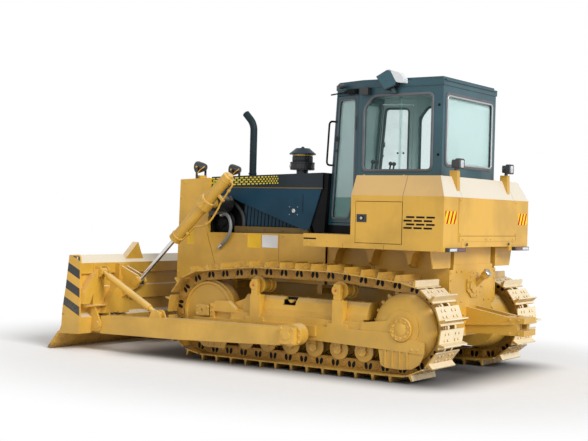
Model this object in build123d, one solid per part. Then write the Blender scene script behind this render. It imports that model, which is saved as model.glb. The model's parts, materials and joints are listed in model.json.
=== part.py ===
from build123d import *
import os
from math import atan2, cos, degrees, hypot, pi, radians, sin

# A track-type bulldozer of the 165 hp class, in millimetres.
# +X points forward to the blade, +Y to the left, +Z up. The origin lies on the ground,
# halfway along the length and halfway across the width.

# ---------------------------------------------------------------- driving sizes
clearance = 0.3            # seat gap between curved faces that touch
running_gap = 6.0          # gap between pieces that move past each other

# crawler
track_gauge = 1880.0       # between the two track centres
shoe_width = 510.0
shoe_count = 38
pitch = 203.2
sprocket_pitches = 12.5    # chain pitches in one turn of the sprocket
sprocket_x = -1825.0
idler_pitch_radius = 406.0
carrier_xs = (-1027.0, 51.0)
carrier_z = 888.0
carrier_line_z = 1021.0    # height of the chain's pins over the carrier rollers
roller_xs = (-1335.0, -1026.0, -717.0, -408.0, -99.0, 210.0)
roller_tread_radius = 86.0
roller_flange_height = 28.0
roller_neck = 50.0
post_outer = 1150.0         # outer face of the posts for the upper rollers
grouser_height = 62.0
grouser_thickness = 14.0
shoe_thickness = 14.0
pin_over_shoe = 58.0       # from the shoe's inner face to the pin's centre
rail_over_pin = 48.0       # from the pin's centre to the rail that the rollers run on
rail_inner = 55.0          # from the track's middle to the rail's near and far faces
rail_outer = 95.0

# tractor
frame_rail_y = 300.0       # middle of each side rail of the main frame
frame_rail_width = 90.0
case_half = 478.0          # half the width of the steering case
frame_bottom = 640.0
frame_top = 879.0
body_half = 550.0          # half the width of the engine housing
hood_front = 1150.0
hood_rear = -439.0
hood_top_front = 2104.0
hood_top_rear = 2156.0
band_bottom = 1986.0
panel_thickness = 12.0
guard_front = 1605.0
guard_bottom = frame_top
fender_half = 1050.0
fender_bottom = 1384.0
box_rear = -2220.0
box_front = -1130.0
box_top = 1897.0
ridge_half = 950.0
ridge_rear = -2124.0
board_top = 1478.0           # the step board ahead of the side boxes
fender_front = -535.0
cab_half = 640.0
cab_rear = -1970.0
cab_kink = -980.0
cab_front = -472.0           # at the floor; the front leans back from there
cab_lean = 101.0
cab_wall_angle = 19.18       # of the walls with the doors
cab_floor_z = 1570.0
cab_ledge_z = 2110.0         # the top of the tank and of the side boxes
cab_top = 3070.0
roof_thickness = 90.0
roof_brim = 10.0
cab_wall = 50.0

# working tool
trunnion_x = -650.0
trunnion_z = 410.0
trunnion_radius = 60.0
arm_gap = 55.0             # between the shoes and the push arm
arm_width = 170.0
blade_overhang = 228.5     # from the arm to the blade's end
blade_top = 1130.0
blade_tip_x = 2723.5
edge_gap = 8.0             # from the ground to the cutting edge
lift_y = 950.0
rod_pin = (1915.0, 825.0)
barrel_pivot = (907.0, 1784.0)
barrel_radius = 68.0
barrel_bore = 50.0
rod_radius = 26.0
barrel_below = 633.0       # barrel's length on the rod's side of the pivot
barrel_above = 450.0
rod_length = 1100.0
rod_eye_radius = 62.0
rod_eye_width = 70.0

# drawbar
hitch_x = -2610.0
hitch_z = 563.0
hitch_bore = 45.0

# ---------------------------------------------------------------- worked-out sizes
roof_top = cab_top + roof_thickness
pin_z = grouser_height + shoe_thickness + pin_over_shoe
sprocket_radius = pitch / (2 * sin(pi / sprocket_pitches))
sprocket_z = pin_z + sprocket_radius
idler_z = pin_z + idler_pitch_radius
track_y = track_gauge / 2
arm_inner = track_y + shoe_width / 2 + arm_gap
arm_outer = arm_inner + arm_width
blade_half = arm_outer + blade_overhang
roller_z = pin_z + rail_over_pin + roller_tread_radius + clearance
roller_flange_radius = roller_tread_radius + roller_flange_height


# ---------------------------------------------------------------- shape helpers
def block(x0, x1, y0, y1, z0, z1):
    """A box between two corners."""
    low = [min(a, b) for a, b in ((x0, x1), (y0, y1), (z0, z1))]
    size = [abs(b - a) for a, b in ((x0, x1), (y0, y1), (z0, z1))]
    return Pos(*low) * Box(*size, align=(Align.MIN, Align.MIN, Align.MIN))


def prism(points, direction):
    """A closed outline of 3-D points, carried along a direction."""
    wire = Wire.make_polygon([Vector(*p) for p in points], close=True)
    return Part() + Solid.extrude(Face(wire), Vector(*direction))


def side_plate(points, y0, y1):
    """An outline of (x, z) points, as thick as y0 to y1."""
    return prism([(x, y0, z) for x, z in points], (0, y1 - y0, 0))


def cross_plate(points, x0, x1):
    """An outline of (y, z) points, as long as x0 to x1."""
    return prism([(x0, y, z) for y, z in points], (x1 - x0, 0, 0))


def flat_plate(points, z0, z1):
    """An outline of (x, y) points, as high as z0 to z1."""
    return prism([(x, y, z0) for x, y in points], (0, 0, z1 - z0))


def disc_y(x, z, radius, y0, y1):
    """A round bar or disc across the machine."""
    return Pos(x, (y0 + y1) / 2, z) * Rot(90, 0, 0) * Cylinder(radius, abs(y1 - y0))


def disc_z(x, y, radius, z0, z1):
    return Pos(x, y, (z0 + z1) / 2) * Cylinder(radius, abs(z1 - z0))


def disc_x(y, z, radius, x0, x1):
    return Pos((x0 + x1) / 2, y, z) * Rot(0, 90, 0) * Cylinder(radius, abs(x1 - x0))


def turned_y(x, z, rows):
    """A body turned about an axis across the machine, from rows of (y, radius)."""
    outline = [(rows[0][0], 0.0)] + list(rows) + [(rows[-1][0], 0.0)]
    wire = Wire.make_polygon([Vector(x + r, y, z) for y, r in outline], close=True)
    return Part() + Solid.revolve(Face(wire), 360, Axis((x, 0, z), (0, 1, 0)))


def bar(p0, p1, radius):
    """A round bar between two points."""
    start, end = Vector(*p0), Vector(*p1)
    plane = Plane(origin=start, z_dir=end - start)
    return Part() + Solid.make_cylinder(radius, (end - start).length, plane)


def turned_x(y, z, rows):
    """A body turned about an axis along the machine, from rows of (x, radius)."""
    outline = [(rows[0][0], 0.0)] + list(rows) + [(rows[-1][0], 0.0)]
    wire = Wire.make_polygon([Vector(x, y, z + r) for x, r in outline], close=True)
    return Part() + Solid.revolve(Face(wire), 360, Axis((0, y, z), (1, 0, 0)))


def soft_prism(points, radius, direction):
    """A prism whose outline has rounded corners."""
    path = FilletPolyline(*[Vector(*p) for p in points], radius=radius, close=True)
    return Part() + Solid.extrude(Face(Wire(path.edges())), Vector(*direction))


def soft_side(points, radius, y0, y1):
    """An outline of (x, z) points with rounded corners, as thick as y0 to y1."""
    return soft_prism([(x, y0, z) for x, z in points], radius, (0, y1 - y0, 0))


def soft_cross(points, radius, x0, x1):
    """An outline of (y, z) points with rounded corners, as long as x0 to x1."""
    return soft_prism([(x0, y, z) for y, z in points], radius, (x1 - x0, 0, 0))


def pipe(points, radius, bend):
    """A round pipe along straight runs joined by arcs."""
    path = FilletPolyline(*points, radius=bend)
    start = path % 0
    section = Plane(origin=path @ 0, z_dir=start) * Circle(radius)
    return sweep(section, path=path)


def mirrored(shape):
    """The same piece on the right-hand side."""
    return Part() + mirror(shape, about=Plane.XZ)


def both_sides(shape):
    return [shape, mirrored(shape)]


def solids_of(*shapes):
    found = []
    for shape in shapes:
        if isinstance(shape, (list, tuple)):
            found += solids_of(*shape)
        else:
            found += list(shape.solids())
    return found


nodes = {}


def keep(name, *shapes):
    """Register a node; pieces that share it stay separate solids."""
    nodes[name] = solids_of(*shapes)


# ---------------------------------------------------------------- track chain
def tangent_point(outside, centre, radius, turn):
    """Where a line from an outside point touches a circle, on the side that turn gives."""
    dx, dz = outside[0] - centre[0], outside[1] - centre[1]
    reach = hypot(dx, dz)
    half = atan2((reach ** 2 - radius ** 2) ** 0.5, radius)
    angle = atan2(dz, dx) + turn * half
    return centre[0] + radius * cos(angle), centre[1] + radius * sin(angle)


def chain_runs(idler_x):
    """The line of the chain's pins as straight runs and arcs, forward along the ground first."""
    idler, sprocket = (idler_x, idler_z), (sprocket_x, sprocket_z)
    front, rear = (carrier_xs[1], carrier_line_z), (carrier_xs[0], carrier_line_z)
    leave = tangent_point(front, idler, idler_pitch_radius, -1)
    meet = tangent_point(rear, sprocket, sprocket_radius, 1)
    upper = atan2(leave[1] - idler[1], leave[0] - idler[0])
    begin = atan2(meet[1] - sprocket[1], meet[0] - sprocket[0])
    ground = [(sprocket_x, pin_z), (idler_x, pin_z)]
    return [("line", ground[0], ground[1]),
            ("arc", idler, idler_pitch_radius, -pi / 2, upper),
            ("line", leave, front), ("line", front, rear), ("line", rear, meet),
            ("arc", sprocket, sprocket_radius, begin, 3 * pi / 2)]


def run_length(run):
    if run[0] == "line":
        return hypot(run[2][0] - run[1][0], run[2][1] - run[1][1])
    return run[2] * (run[4] - run[3])


def point_on(runs, s):
    """The point at distance s along the chain's line."""
    for run in runs:
        length = run_length(run)
        if s <= length:
            break
        s -= length
    if run[0] == "line":
        t = s / length
        return run[1][0] + t * (run[2][0] - run[1][0]), run[1][1] + t * (run[2][1] - run[1][1])
    angle = run[3] + s / run[2]
    return run[1][0] + run[2] * cos(angle), run[1][1] + run[2] * sin(angle)


def walk(runs, start):
    """Pins one true pitch apart, and how far past the start the last one comes."""
    total = sum(run_length(run) for run in runs)
    s, pins = start, []
    for _ in range(shoe_count):
        here = point_on(runs, s % total)
        pins.append(here)
        low, high = s + 0.9 * pitch, s + 1.2 * pitch
        for _ in range(40):
            middle = (low + high) / 2
            there = point_on(runs, middle % total)
            if hypot(there[0] - here[0], there[1] - here[1]) < pitch:
                low = middle
            else:
                high = middle
        s = (low + high) / 2
    return pins, s - start - total


def fitted_idler_x():
    """The idler stands where the chain of whole links closes."""
    low, high = carrier_xs[1] + 300.0, carrier_xs[1] + 1100.0
    for _ in range(40):
        middle = (low + high) / 2
        if walk(chain_runs(middle), 0.0)[1] > 0:
            low = middle
        else:
            high = middle
    return (low + high) / 2


idler_x = fitted_idler_x()


def link_frames(start):
    """For each link: its first pin, its direction and its outward direction."""
    pins, _ = walk(chain_runs(idler_x), start)
    frames = []
    for k, pin in enumerate(pins):
        following = pins[(k + 1) % shoe_count]
        span = hypot(following[0] - pin[0], following[1] - pin[1])
        t = ((following[0] - pin[0]) / span, (following[1] - pin[1]) / span)
        frames.append((pin, t, (t[1], -t[0]), span))
    return frames


def at(frame, a, b):
    """The point a along a link and b outward from its pins."""
    pin, t, n, _ = frame
    return pin[0] + a * t[0] + b * n[0], pin[1] + a * t[1] + b * n[1]


def offset_loop(frames, b):
    """The corners where neighbouring links' lines at distance b meet."""
    corners = []
    for k, frame in enumerate(frames):
        before, (pin, t, n, _) = frames[k - 1], frame
        m = (before[2][0] + n[0], before[2][1] + n[1])
        size = 2.0 * b / (m[0] ** 2 + m[1] ** 2)
        corners.append((pin[0] + m[0] * size, pin[1] + m[1] * size))
    return corners


def rail_reach(frames, x, z):
    """The distance from an axle to the nearest rail."""
    distances = []
    for frame in frames:
        (px, pz), t, n, span = frame
        along = min(max((x - px) * t[0] + (z - pz) * t[1], 0.0), span)
        rx, rz = at(frame, along, -rail_over_pin)
        distances.append(hypot(rx - x, rz - z))
    return min(distances)


shoe_gap = 4.0
grouser_at = 0.78 * pitch      # the bar stands near the shoe's rear edge
grouser_foot = 2.4 * grouser_thickness


def track(frames, side):
    """One closed loop: two rails of links and the shoes that they carry."""
    y0 = side * track_y
    top = pin_over_shoe + shoe_thickness
    tip = top + grouser_height
    pieces = []
    for near, far in ((rail_inner, rail_outer), (-rail_outer, -rail_inner)):
        outer = Wire.make_polygon([Vector(x, y0 + near, z)
                                   for x, z in offset_loop(frames, pin_over_shoe + 2)], close=True)
        inner = Wire.make_polygon([Vector(x, y0 + near, z)
                                   for x, z in offset_loop(frames, -rail_over_pin)], close=True)
        pieces.append(Solid.extrude(Face(outer, [inner]), Vector(0, far - near, 0)))
    for frame in frames:
        span = frame[3]
        outline = [(shoe_gap, pin_over_shoe), (span - shoe_gap, pin_over_shoe), (span - shoe_gap, top),
                   (grouser_at + grouser_foot / 2, top), (grouser_at + grouser_thickness / 2, tip),
                   (grouser_at - grouser_thickness / 2, tip), (grouser_at - grouser_foot / 2, top),
                   (shoe_gap, top)]
        corners = [at(frame, a, b) for a, b in outline]
        wire = Wire.make_polygon([Vector(x, y0 - shoe_width / 2, z) for x, z in corners], close=True)
        pieces.append(Solid.extrude(Face(wire), Vector(0, shoe_width, 0)))
    return Part() + pieces[0].fuse(*pieces[1:])


track_start = {1: 0.0, -1: 100.0}     # the two chains stand at different points of their turn
grouser_line = 66.0                   # puts the left chain's bars where the ground line shows them
chains = {side: link_frames(track_start[side] - grouser_line + pitch) for side in (1, -1)}
for side, name in ((1, "track_left"), (-1, "track_right")):
    keep(name, track(chains[side], side))


# ---------------------------------------------------------------- sprockets, idlers and rollers
sprocket_half = 36.0
tooth_tip = sprocket_radius + 14.0
tooth_root = sprocket_radius - 34.0
hub_radius = 117.0
dome_radius = 362.0
flange_radius = 190.0
dome_face = 1120.0
case_outer = track_y - rail_outer - 25


def sprocket(side):
    """A toothed rim with a seat for a bushing at each half pitch."""
    frames = chains[side]
    pin = min((f[0] for f in frames), key=lambda p: p[0])
    phase = atan2(pin[1] - sprocket_z, pin[0] - sprocket_x)
    teeth = round(2 * sprocket_pitches)
    step = 2 * pi / teeth
    corners = []
    for k in range(teeth):
        for part_of_step, radius in ((-0.22, tooth_root), (0.22, tooth_root), (0.40, tooth_tip), (0.60, tooth_tip)):
            angle = phase + (k + part_of_step) * step
            corners.append((sprocket_x + radius * cos(angle), sprocket_z + radius * sin(angle)))
    y0 = side * track_y
    return side_plate(corners, y0 - sprocket_half, y0 + sprocket_half)


keep("sprockets", [sprocket(side) for side in (1, -1)])


def wheel(side, x, z, reach, rows):
    """A turned wheel: rows of (distance from the track's middle, radius over the tread)."""
    tread = reach - clearance
    return turned_y(x, z, [(side * track_y + y, tread + r) for y, r in rows])


idler_rows = ((-88, -278), (-78, -34), (-rail_outer, -24), (-rail_outer, 0), (-50, 0), (-48, 20), (48, 20), (50, 0),
              (rail_outer, 0), (rail_outer, -24), (78, -34), (88, -278))
neck = roller_neck - roller_tread_radius
roller_rows = ((-120, -34), (-114, 22), (-110, roller_flange_height), (-101, roller_flange_height), (-98, 0), (-50, 0), (-46, neck),
               (46, neck), (50, 0), (98, 0), (101, roller_flange_height), (110, roller_flange_height), (114, 22), (120, -34))
carrier_rows = ((-112, -40), (-112, 14), (-98, 14), (-96, 0), (-50, 0), (-46, -14), (46, -14), (50, 0), (96, 0), (98, 14),
                (112, 14), (112, -40))
shaft_radius = 32.0
shaft_reach = 150.0


def idler(side):
    reach = rail_reach(chains[side], idler_x, idler_z)
    body = wheel(side, idler_x, idler_z, reach, idler_rows)
    shaft = disc_y(idler_x, idler_z, 45, side * track_y - shaft_reach, side * track_y + shaft_reach)
    return body + shaft


def track_roller(side, x):
    body = wheel(side, x, roller_z, roller_tread_radius + clearance, roller_rows)
    shaft = disc_y(x, roller_z, shaft_radius, side * track_y - shaft_reach, side * track_y + shaft_reach)
    return body + shaft


def carrier_roller(side, x):
    reach = rail_reach(chains[side], x, carrier_z)
    body = wheel(side, x, carrier_z, reach, carrier_rows)
    shaft = disc_y(x, carrier_z, shaft_radius, side * track_y, side * (post_outer - 12))
    return body + shaft


keep("idlers", [idler(side) for side in (1, -1)])
keep("track_rollers", [track_roller(side, x) for side in (1, -1) for x in roller_xs])
keep("carrier_rollers", [carrier_roller(side, x) for side in (1, -1) for x in carrier_xs])


# ---------------------------------------------------------------- final drives
def final_drive():
    """The drive case inside the track and the domed bearing case outside it."""
    inner = turned_y(sprocket_x, sprocket_z,
                     [(case_half, 290.0), (case_outer - 40, 320.0), (case_outer, 290.0),
                      (case_outer, flange_radius), (track_y - sprocket_half, flange_radius)])
    base = track_y + rail_outer + 12
    steps = 8
    curve = [(base + (dome_face - base) * sin(k * pi / 2 / steps), flange_radius + (dome_radius - flange_radius) * cos(k * pi / 2 / steps))
             for k in range(steps + 1)]
    outer = turned_y(sprocket_x, sprocket_z, [(track_y + sprocket_half, flange_radius), (base, flange_radius)] + curve
                     + [(dome_face, hub_radius)])
    return [inner, outer]


keep("final_drives", [both_sides(piece) for piece in final_drive()])

# ---------------------------------------------------------------- track frames
beam_bottom = roller_z + roller_flange_radius + 10
beam_top = 600.0
beam_inner = track_y - shaft_reach
beam_outer = track_y + shaft_reach
beam_front = idler_x - 400.0
beam_rear = -1340.0
cover_top = 775.0
cover_rear = -1385.0
plate_outer = 1150.0
plate_top = 500.0
plate_bottom = 318.0
plate_inner = dome_face + clearance
bar_outer = 1136.0
frame_end = -2092.0
cut_radius = 134.0


def hub_arc(first, last, count):
    """Points of the round cut about the final drive's hub, from one angle to another in degrees."""
    angles = [radians(first + (last - first) * k / (count - 1)) for k in range(count)]
    return [(sprocket_x + cut_radius * cos(a), sprocket_z + cut_radius * sin(a)) for a in angles]


def outer_plate():
    """The outer side plate, cut half round about the hub, with the bar above it and its round flange."""
    arc = hub_arc(-20, -135, 9)
    plate = side_plate([(beam_front, plate_bottom + 60), (beam_front, plate_top), (sprocket_x + cut_radius, plate_top)] + arc
                       + [(frame_end, 425), (frame_end, 309)], plate_inner, plate_outer)
    bar_top = [(beam_rear, 577), (sprocket_x + 170, 618)]
    plate += side_plate([(beam_rear, plate_top - 20), bar_top[0], bar_top[1], (sprocket_x, 618), (sprocket_x, plate_top - 20)],
                        plate_inner, bar_outer)
    plate += disc_y(sprocket_x, sprocket_z, flange_radius, plate_inner, bar_outer)
    plate += disc_y(sprocket_x, sprocket_z, hub_radius, plate_inner, plate_outer + 14)
    # chain guard under the plate, with ribs
    guard = [(-1557, plate_bottom), (-1590, 161), (-1640, 138), (-1825, 133), (-1950, 148), (-2035, 200), (-2080, 290), (-2080, plate_bottom + 1)]
    plate += side_plate(guard, plate_inner, bar_outer)
    for x in (-1900.0, -1815.0, -1730.0, -1645.0):
        plate += block(x - 7, x + 7, bar_outer, plate_outer, 150, plate_bottom)
    return plate


def track_frame():
    """The left frame: a box beam, roller hangers, idler fork, covers, posts and trunnion."""
    body = block(beam_rear, beam_front, beam_inner, beam_outer, beam_bottom, beam_top)
    body += outer_plate()
    body += block(beam_rear, beam_front, beam_outer, plate_inner, beam_bottom, plate_top)
    body += block(beam_rear, beam_front, beam_outer, bar_outer - 10, plate_top, 577)
    # rounded covers over the recoil spring
    ridge = [(beam_inner + 20, beam_top), (beam_inner + 20, 690), (880, cover_top), (1000, cover_top),
             (beam_outer - 45, 735), (beam_outer - 8, 640), (beam_outer - 8, beam_top)]
    body += cross_plate(ridge, cover_rear, 228)
    body += side_plate([(200, beam_top), (200, 735), (372, 672), (372, beam_top)], beam_inner + 20, beam_outer - 45)
    body -= block(-462, -299, 960, 1065, 690, cover_top + 10)
    # hangers that hold the roller shafts
    for x in roller_xs:
        for y0, y1 in ((-shaft_reach, -128), (128, shaft_reach)):
            body += block(x - 40, x + 40, track_y + y0, track_y + y1, roller_z, beam_bottom)
            body += disc_y(x, roller_z, 46, track_y + y0, track_y + y1)
        body -= disc_y(x, roller_z, shaft_radius + clearance, track_y - 200, plate_inner)
    # fork for the idler, its bearing blocks and stepped yoke
    for y0, y1 in ((-shaft_reach, -rail_outer - 12), (rail_outer + 12, shaft_reach)):
        body += block(beam_front, idler_x + 90, track_y + y0, track_y + y1, idler_z - 70, idler_z + 60)
    body += block(idler_x - 92, idler_x + 86, beam_outer, plate_outer, 505, 622)
    body += block(idler_x - 165, idler_x - 108, beam_outer, plate_outer - 12, 482, 651)
    body += side_plate([(idler_x - 165, 562), (idler_x - 165, 668), (idler_x - 185, 680), (412, 688), (300, 600), (300, 562)],
                       beam_outer - 30, bar_outer - 4)
    body += side_plate([(beam_front - 10, plate_bottom + 60), (beam_front - 10, plate_top - 14), (idler_x + 120, plate_top - 14),
                        (idler_x + 120, 420), (idler_x - 60, plate_bottom + 60)], beam_outer - 30, plate_outer)
    body -= disc_y(idler_x, idler_z, 45 + clearance, track_y - 200, track_y + shaft_reach + 4)
    body -= disc_y(idler_x, 560, 20, plate_outer - 15, plate_outer + 1)
    # front chain guard with ribs
    body += side_plate([(419, 400), (419, 213), (441, 153), (740, 153), (800, 204), (800, 400)], plate_inner, bar_outer)
    for x in (500.0, 590.0, 680.0):
        body += block(x - 7, x + 7, bar_outer, plate_outer, 170, 400)
    # posts that carry the upper rollers
    for x in carrier_xs:
        post = block(x - 95, x + 35, beam_outer - 30, post_outer, plate_top, 785)
        post += block(x - 150, x + 95, beam_outer - 20, post_outer, plate_top, 545)
        post += block(x - 50, x + 30, beam_outer - 5, post_outer - 12, 785, 955)
        post += disc_y(x, carrier_z, 56, beam_outer - 5, post_outer - 12)
        body += post - disc_y(x, carrier_z, shaft_radius + clearance, track_y, post_outer - 12)
    # trunnion for the push arm
    body += block(trunnion_x - 150, trunnion_x + 130, beam_outer, plate_outer + 25, beam_bottom, plate_top)
    body += disc_y(trunnion_x, trunnion_z, trunnion_radius, beam_outer, 1480)
    return body


frame_left = track_frame()
keep("track_frame_left", frame_left)
keep("track_frame_right", mirrored(frame_left))

# ---------------------------------------------------------------- main frame and cases
rail_in = frame_rail_y - frame_rail_width / 2
rail_out = frame_rail_y + frame_rail_width / 2
frame_front = 1560.0
case_front = -1150.0
case_rear = -2055.0
case_top = 1190.0
case_bottom = 430.0
rear_plate_half = 562.0


def main_frame():
    """Two rails, cross members, the equalizer beam and the belly guard."""
    body = None
    for side in (1, -1):
        rail = block(case_front, frame_front, side * rail_in, side * rail_out, frame_bottom, frame_top)
        body = rail if body is None else body + rail
    for x in (-800.0, 100.0, 1480.0):
        body += block(x, x + 80, -rail_in, rail_in, frame_bottom, frame_bottom + 120)
    body += block(case_front, 1400, -rail_out, rail_out, frame_bottom - 25, frame_bottom)
    # sloped side skirts of the belly guard
    body += cross_plate([(-rail_out, frame_bottom - 25), (-260, 430), (260, 430), (rail_out, frame_bottom - 25)], -1000, 1300)
    # equalizer beam that rests on the track frames
    body += block(200, 330, -beam_inner, beam_inner, beam_top - 100, beam_top)
    body += block(200, 330, -rail_out, rail_out, beam_top, frame_bottom)
    return body


keep("main_frame", main_frame())


def rear_case():
    """The steering case between the tracks, with its rounded bottom, rear plate, cover and filler pipe."""
    r = 200.0
    outline = [(-case_half, case_top), (-case_half, case_bottom + r), (-case_half + r, case_bottom),
               (case_half - r, case_bottom), (case_half, case_bottom + r), (case_half, case_top)]
    body = cross_plate(outline, case_rear, case_front)
    body += block(case_rear, case_rear + 14, -rear_plate_half, rear_plate_half, 775, 1140)
    turns = [radians(a) for a in range(22, 382, 45)]
    body += cross_plate([(205 * cos(a) - 20, 976 + 151 * sin(a)) for a in turns], case_rear - 18, case_rear)
    body += cross_plate([(150 * cos(a) - 20, 976 + 100 * sin(a)) for a in turns], case_rear - 30, case_rear)
    body += bar((case_rear + 20, -31, 940), (case_rear - 130, -31, 1082), 30)
    return body + bar((case_rear - 112, -31, 1065), (case_rear - 150, -31, 1101), 44)


keep("rear_case", rear_case())


def drawbar():
    """Tapered plates back to a hitch block with a bore for the pin."""
    y = 150.0
    side = [(case_rear, 455), (case_rear, 739), (hitch_x - 40, 640), (hitch_x - 40, 490)]
    body = side_plate(side, y - 60, y) + side_plate(side, -y, -y + 60)
    for end in (y, -y - 22):
        body += prism([(case_rear, end, 545), (case_rear, end, 563), (hitch_x, end, 603), (hitch_x, end, 585)], (0, 22, 0))
    body += block(hitch_x - 113, hitch_x + 90, -y, y, hitch_z + 35, hitch_z + 95)
    body += block(hitch_x - 113, hitch_x + 90, -y, y, hitch_z - 95, hitch_z - 35)
    body += block(hitch_x + 90, hitch_x + 150, -y, y, hitch_z - 95, hitch_z + 95)
    body -= disc_z(hitch_x, 0, hitch_bore / 2, hitch_z - 200, hitch_z + 200)
    return body


keep("drawbar", drawbar())

# ---------------------------------------------------------------- engine bay
engine_rear, engine_front = -250.0, 900.0
engine_half = 280.0
engine_top = 1880.0
keep("engine_block", block(engine_rear, engine_front, -engine_half, engine_half, frame_top, engine_top))
radiator_x = 1000.0
radiator = block(radiator_x, radiator_x + 120, -430, 430, frame_top, 2000) + disc_x(0, 1480, 380, 935, radiator_x)
keep("radiator", radiator)


front_lamp_y = 345.0
lamp_x = 1485.0
lamp_pad_z = 2088.0
guard_rear = 1150.0


def radiator_guard():
    """The heavy nose box that protects the radiator and holds the lift cylinders."""
    outline = [(guard_rear, hood_top_front - 13), (guard_front - 12, 2070), (guard_front + 12, guard_bottom),
               (960, guard_bottom), (1047, 1101), (1165, 1430), (guard_rear, 1440)]
    body = side_plate(outline, body_half, body_half + 50) + side_plate(outline, -body_half - 50, -body_half)
    body += side_plate([(guard_rear, hood_top_front - 13), (guard_rear, hood_top_front - 53), (guard_front - 12, 2030),
                        (guard_front - 12, 2070)], -body_half, body_half)
    front = [(guard_front - 12, 2070), (guard_front + 12, guard_bottom), (guard_front - 38, guard_bottom), (guard_front - 62, 2070)]
    face = side_plate(front, -body_half, body_half)
    for k in range(9):
        z = 1010 + 110 * k
        face -= block(guard_front - 100, guard_front + 50, -460, 460, z, z + 60)
    body += face
    for y in (front_lamp_y, -front_lamp_y):
        body += block(lamp_x - 45, lamp_x + 45, y - 40, y + 40, 2050, lamp_pad_z)
    body += block(1250, guard_front - 38, -body_half, body_half, guard_bottom, guard_bottom + 20)
    # bearing brackets for the cylinders' yokes
    x, z = barrel_pivot
    for side in (1, -1):
        arm = side_plate([(x - 95, z + 40), (x - 60, z + 95), (x + 95, z + 95), (1190, z + 60), (1190, z - 160), (x - 40, z - 100), (x - 95, z - 40)],
                         side * body_half, side * (body_half + 50))
        arm += disc_y(x, z, 95, side * body_half, side * (lift_y - 160))
        arm -= disc_y(x, z, 55 + clearance, side * (body_half + 50), side * (lift_y - 150))
        body += arm
    return body


keep("radiator_guard", radiator_guard())


def hood():
    """A folded sheet over the engine, with deep side bands."""
    t = panel_thickness
    outer = [(body_half, band_bottom), (body_half, hood_top_front - 30), (body_half - 40, hood_top_front), (-body_half + 40, hood_top_front),
             (-body_half, hood_top_front - 30), (-body_half, band_bottom)]
    side = [(hood_rear, band_bottom), (hood_front - clearance, band_bottom), (hood_front - clearance, hood_top_front), (hood_rear, hood_top_rear)]
    body = side_plate(side, -body_half, body_half)
    inside = [(hood_rear - 10, band_bottom - 10), (hood_front + 10, band_bottom - 10), (hood_front + 10, hood_top_front - t),
              (hood_rear - 10, hood_top_rear - t)]
    body -= side_plate(inside, -body_half + t, body_half - t)
    body -= disc_z(exhaust_x, 0, exhaust_radius + clearance, 1900, 2300)
    body -= disc_z(cleaner_x, 0, cleaner_neck + clearance, 1900, 2300)
    return body


exhaust_x = 950.0
exhaust_radius = 44.0
cleaner_x = 215.0
cleaner_neck = 70.0
keep("hood", hood())

keep("exhaust_stack", pipe([(exhaust_x, 0, 1990), (exhaust_x, 0, 2775), (exhaust_x + 128, 0, 2908)], exhaust_radius, 200))
cleaner_z = 2211.0            # underside of the bowl
cleaner_brim = 158.0
cleaner = disc_z(cleaner_x, 0, cleaner_neck, 1900, cleaner_z)
# bowl, body and brim: radius, low, high
for radius, low, high in ((145, 0, 92), (118, 92, 182), (cleaner_brim, 182, 198)):
    cleaner += disc_z(cleaner_x, 0, radius, cleaner_z + low, cleaner_z + high)
cleaner += Pos(cleaner_x, 0, cleaner_z + 228) * Cone(cleaner_brim - 5, 82, 60)
keep("precleaner", cleaner)

panel_outline = [(-430, band_bottom - 1), (1120, band_bottom - 1), (1120, 1900), (900, 1880), (706, 1807), (-198, 1504), (-275, 1523)]
keep("side_panels", both_sides(side_plate(panel_outline, body_half - panel_thickness, body_half)))
plate_face = body_half + 50
lower_rear = fender_front + 4
lower_plate = side_plate([(lower_rear, 900), (lower_rear, 1464), (1140, 1440), (1155, 1425), (1040, 1101), (960, 905)],
                         plate_face - panel_thickness, plate_face)
for x in (-500, 700):
    lower_plate += block(x, x + 60, rail_out, plate_face - panel_thickness, 800, 860)
    lower_plate += block(x, x + 60, plate_face - panel_thickness, plate_face, 800, 960)
keep("lower_side_plates", both_sides(lower_plate))


# ---------------------------------------------------------------- fenders, boxes and tank
fender_thickness = 14.0
lip_height = 44.0
skirt_bottom = 900.0
gusset_xs = (-720.0, -1180.0, -1660.0)


def fender():
    """Deck, lip, inner skirt with flared gussets, the step board ahead and the plate at the rear."""
    low = fender_bottom - fender_thickness
    body = flat_plate([(box_rear, case_half + 70), (box_rear, fender_half), (fender_front, fender_half), (fender_front, case_half + 70)],
                      low, fender_bottom)
    body += block(box_rear, fender_front, fender_half - fender_thickness, fender_half, low - lip_height + fender_thickness, low)
    body += block(box_rear, box_rear + fender_thickness, case_half + 70, fender_half, low - lip_height + fender_thickness, low)
    body += block(case_rear + fender_thickness, fender_front, rear_plate_half - fender_thickness, rear_plate_half, skirt_bottom, low)
    body += block(box_front + 1, fender_front, case_half + 70, fender_half, fender_bottom, board_top)
    body += cross_plate([(rear_plate_half - fender_thickness, 1160), (rear_plate_half - fender_thickness, low), (fender_half - 60, low), (fender_half - 120, 1160)],
                        case_rear, case_rear + fender_thickness)
    for x in gusset_xs:
        for lean in (-1, 1):
            flare = prism([(x - lean * 4, rear_plate_half, 1185), (x + lean * 12, rear_plate_half, 1185), (x + lean * 70, rear_plate_half, low),
                           (x + lean * 54, rear_plate_half, low)], (0, 158, 0))
            body += flare
    return body


keep("fenders", both_sides(fender()))


box_seam = -1749.0
opening_front = -1185.0
vent_rows = (1560.0, 1597.0, 1634.0, 1671.0)
vent_pitch = 116.0
vent_length = 98.0
vent_height = 20.0
vent_depth = 30.0


def hip_profile(front):
    """The side outline of the tank and of the boxes, with the slanted rear shoulder."""
    return [(box_rear, fender_bottom), (box_rear, box_top), (ridge_rear, cab_ledge_z), (front, cab_ledge_z), (front, fender_bottom)]


def lamp_bracket(y):
    """A folded yellow bracket on the slanted shoulder, for a rear lamp."""
    return side_plate([(-2192, 1936), (-2100, 2104), (-2100, lamp_seat_z), (-2186, lamp_seat_z)], y - 32, y + 32)


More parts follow.
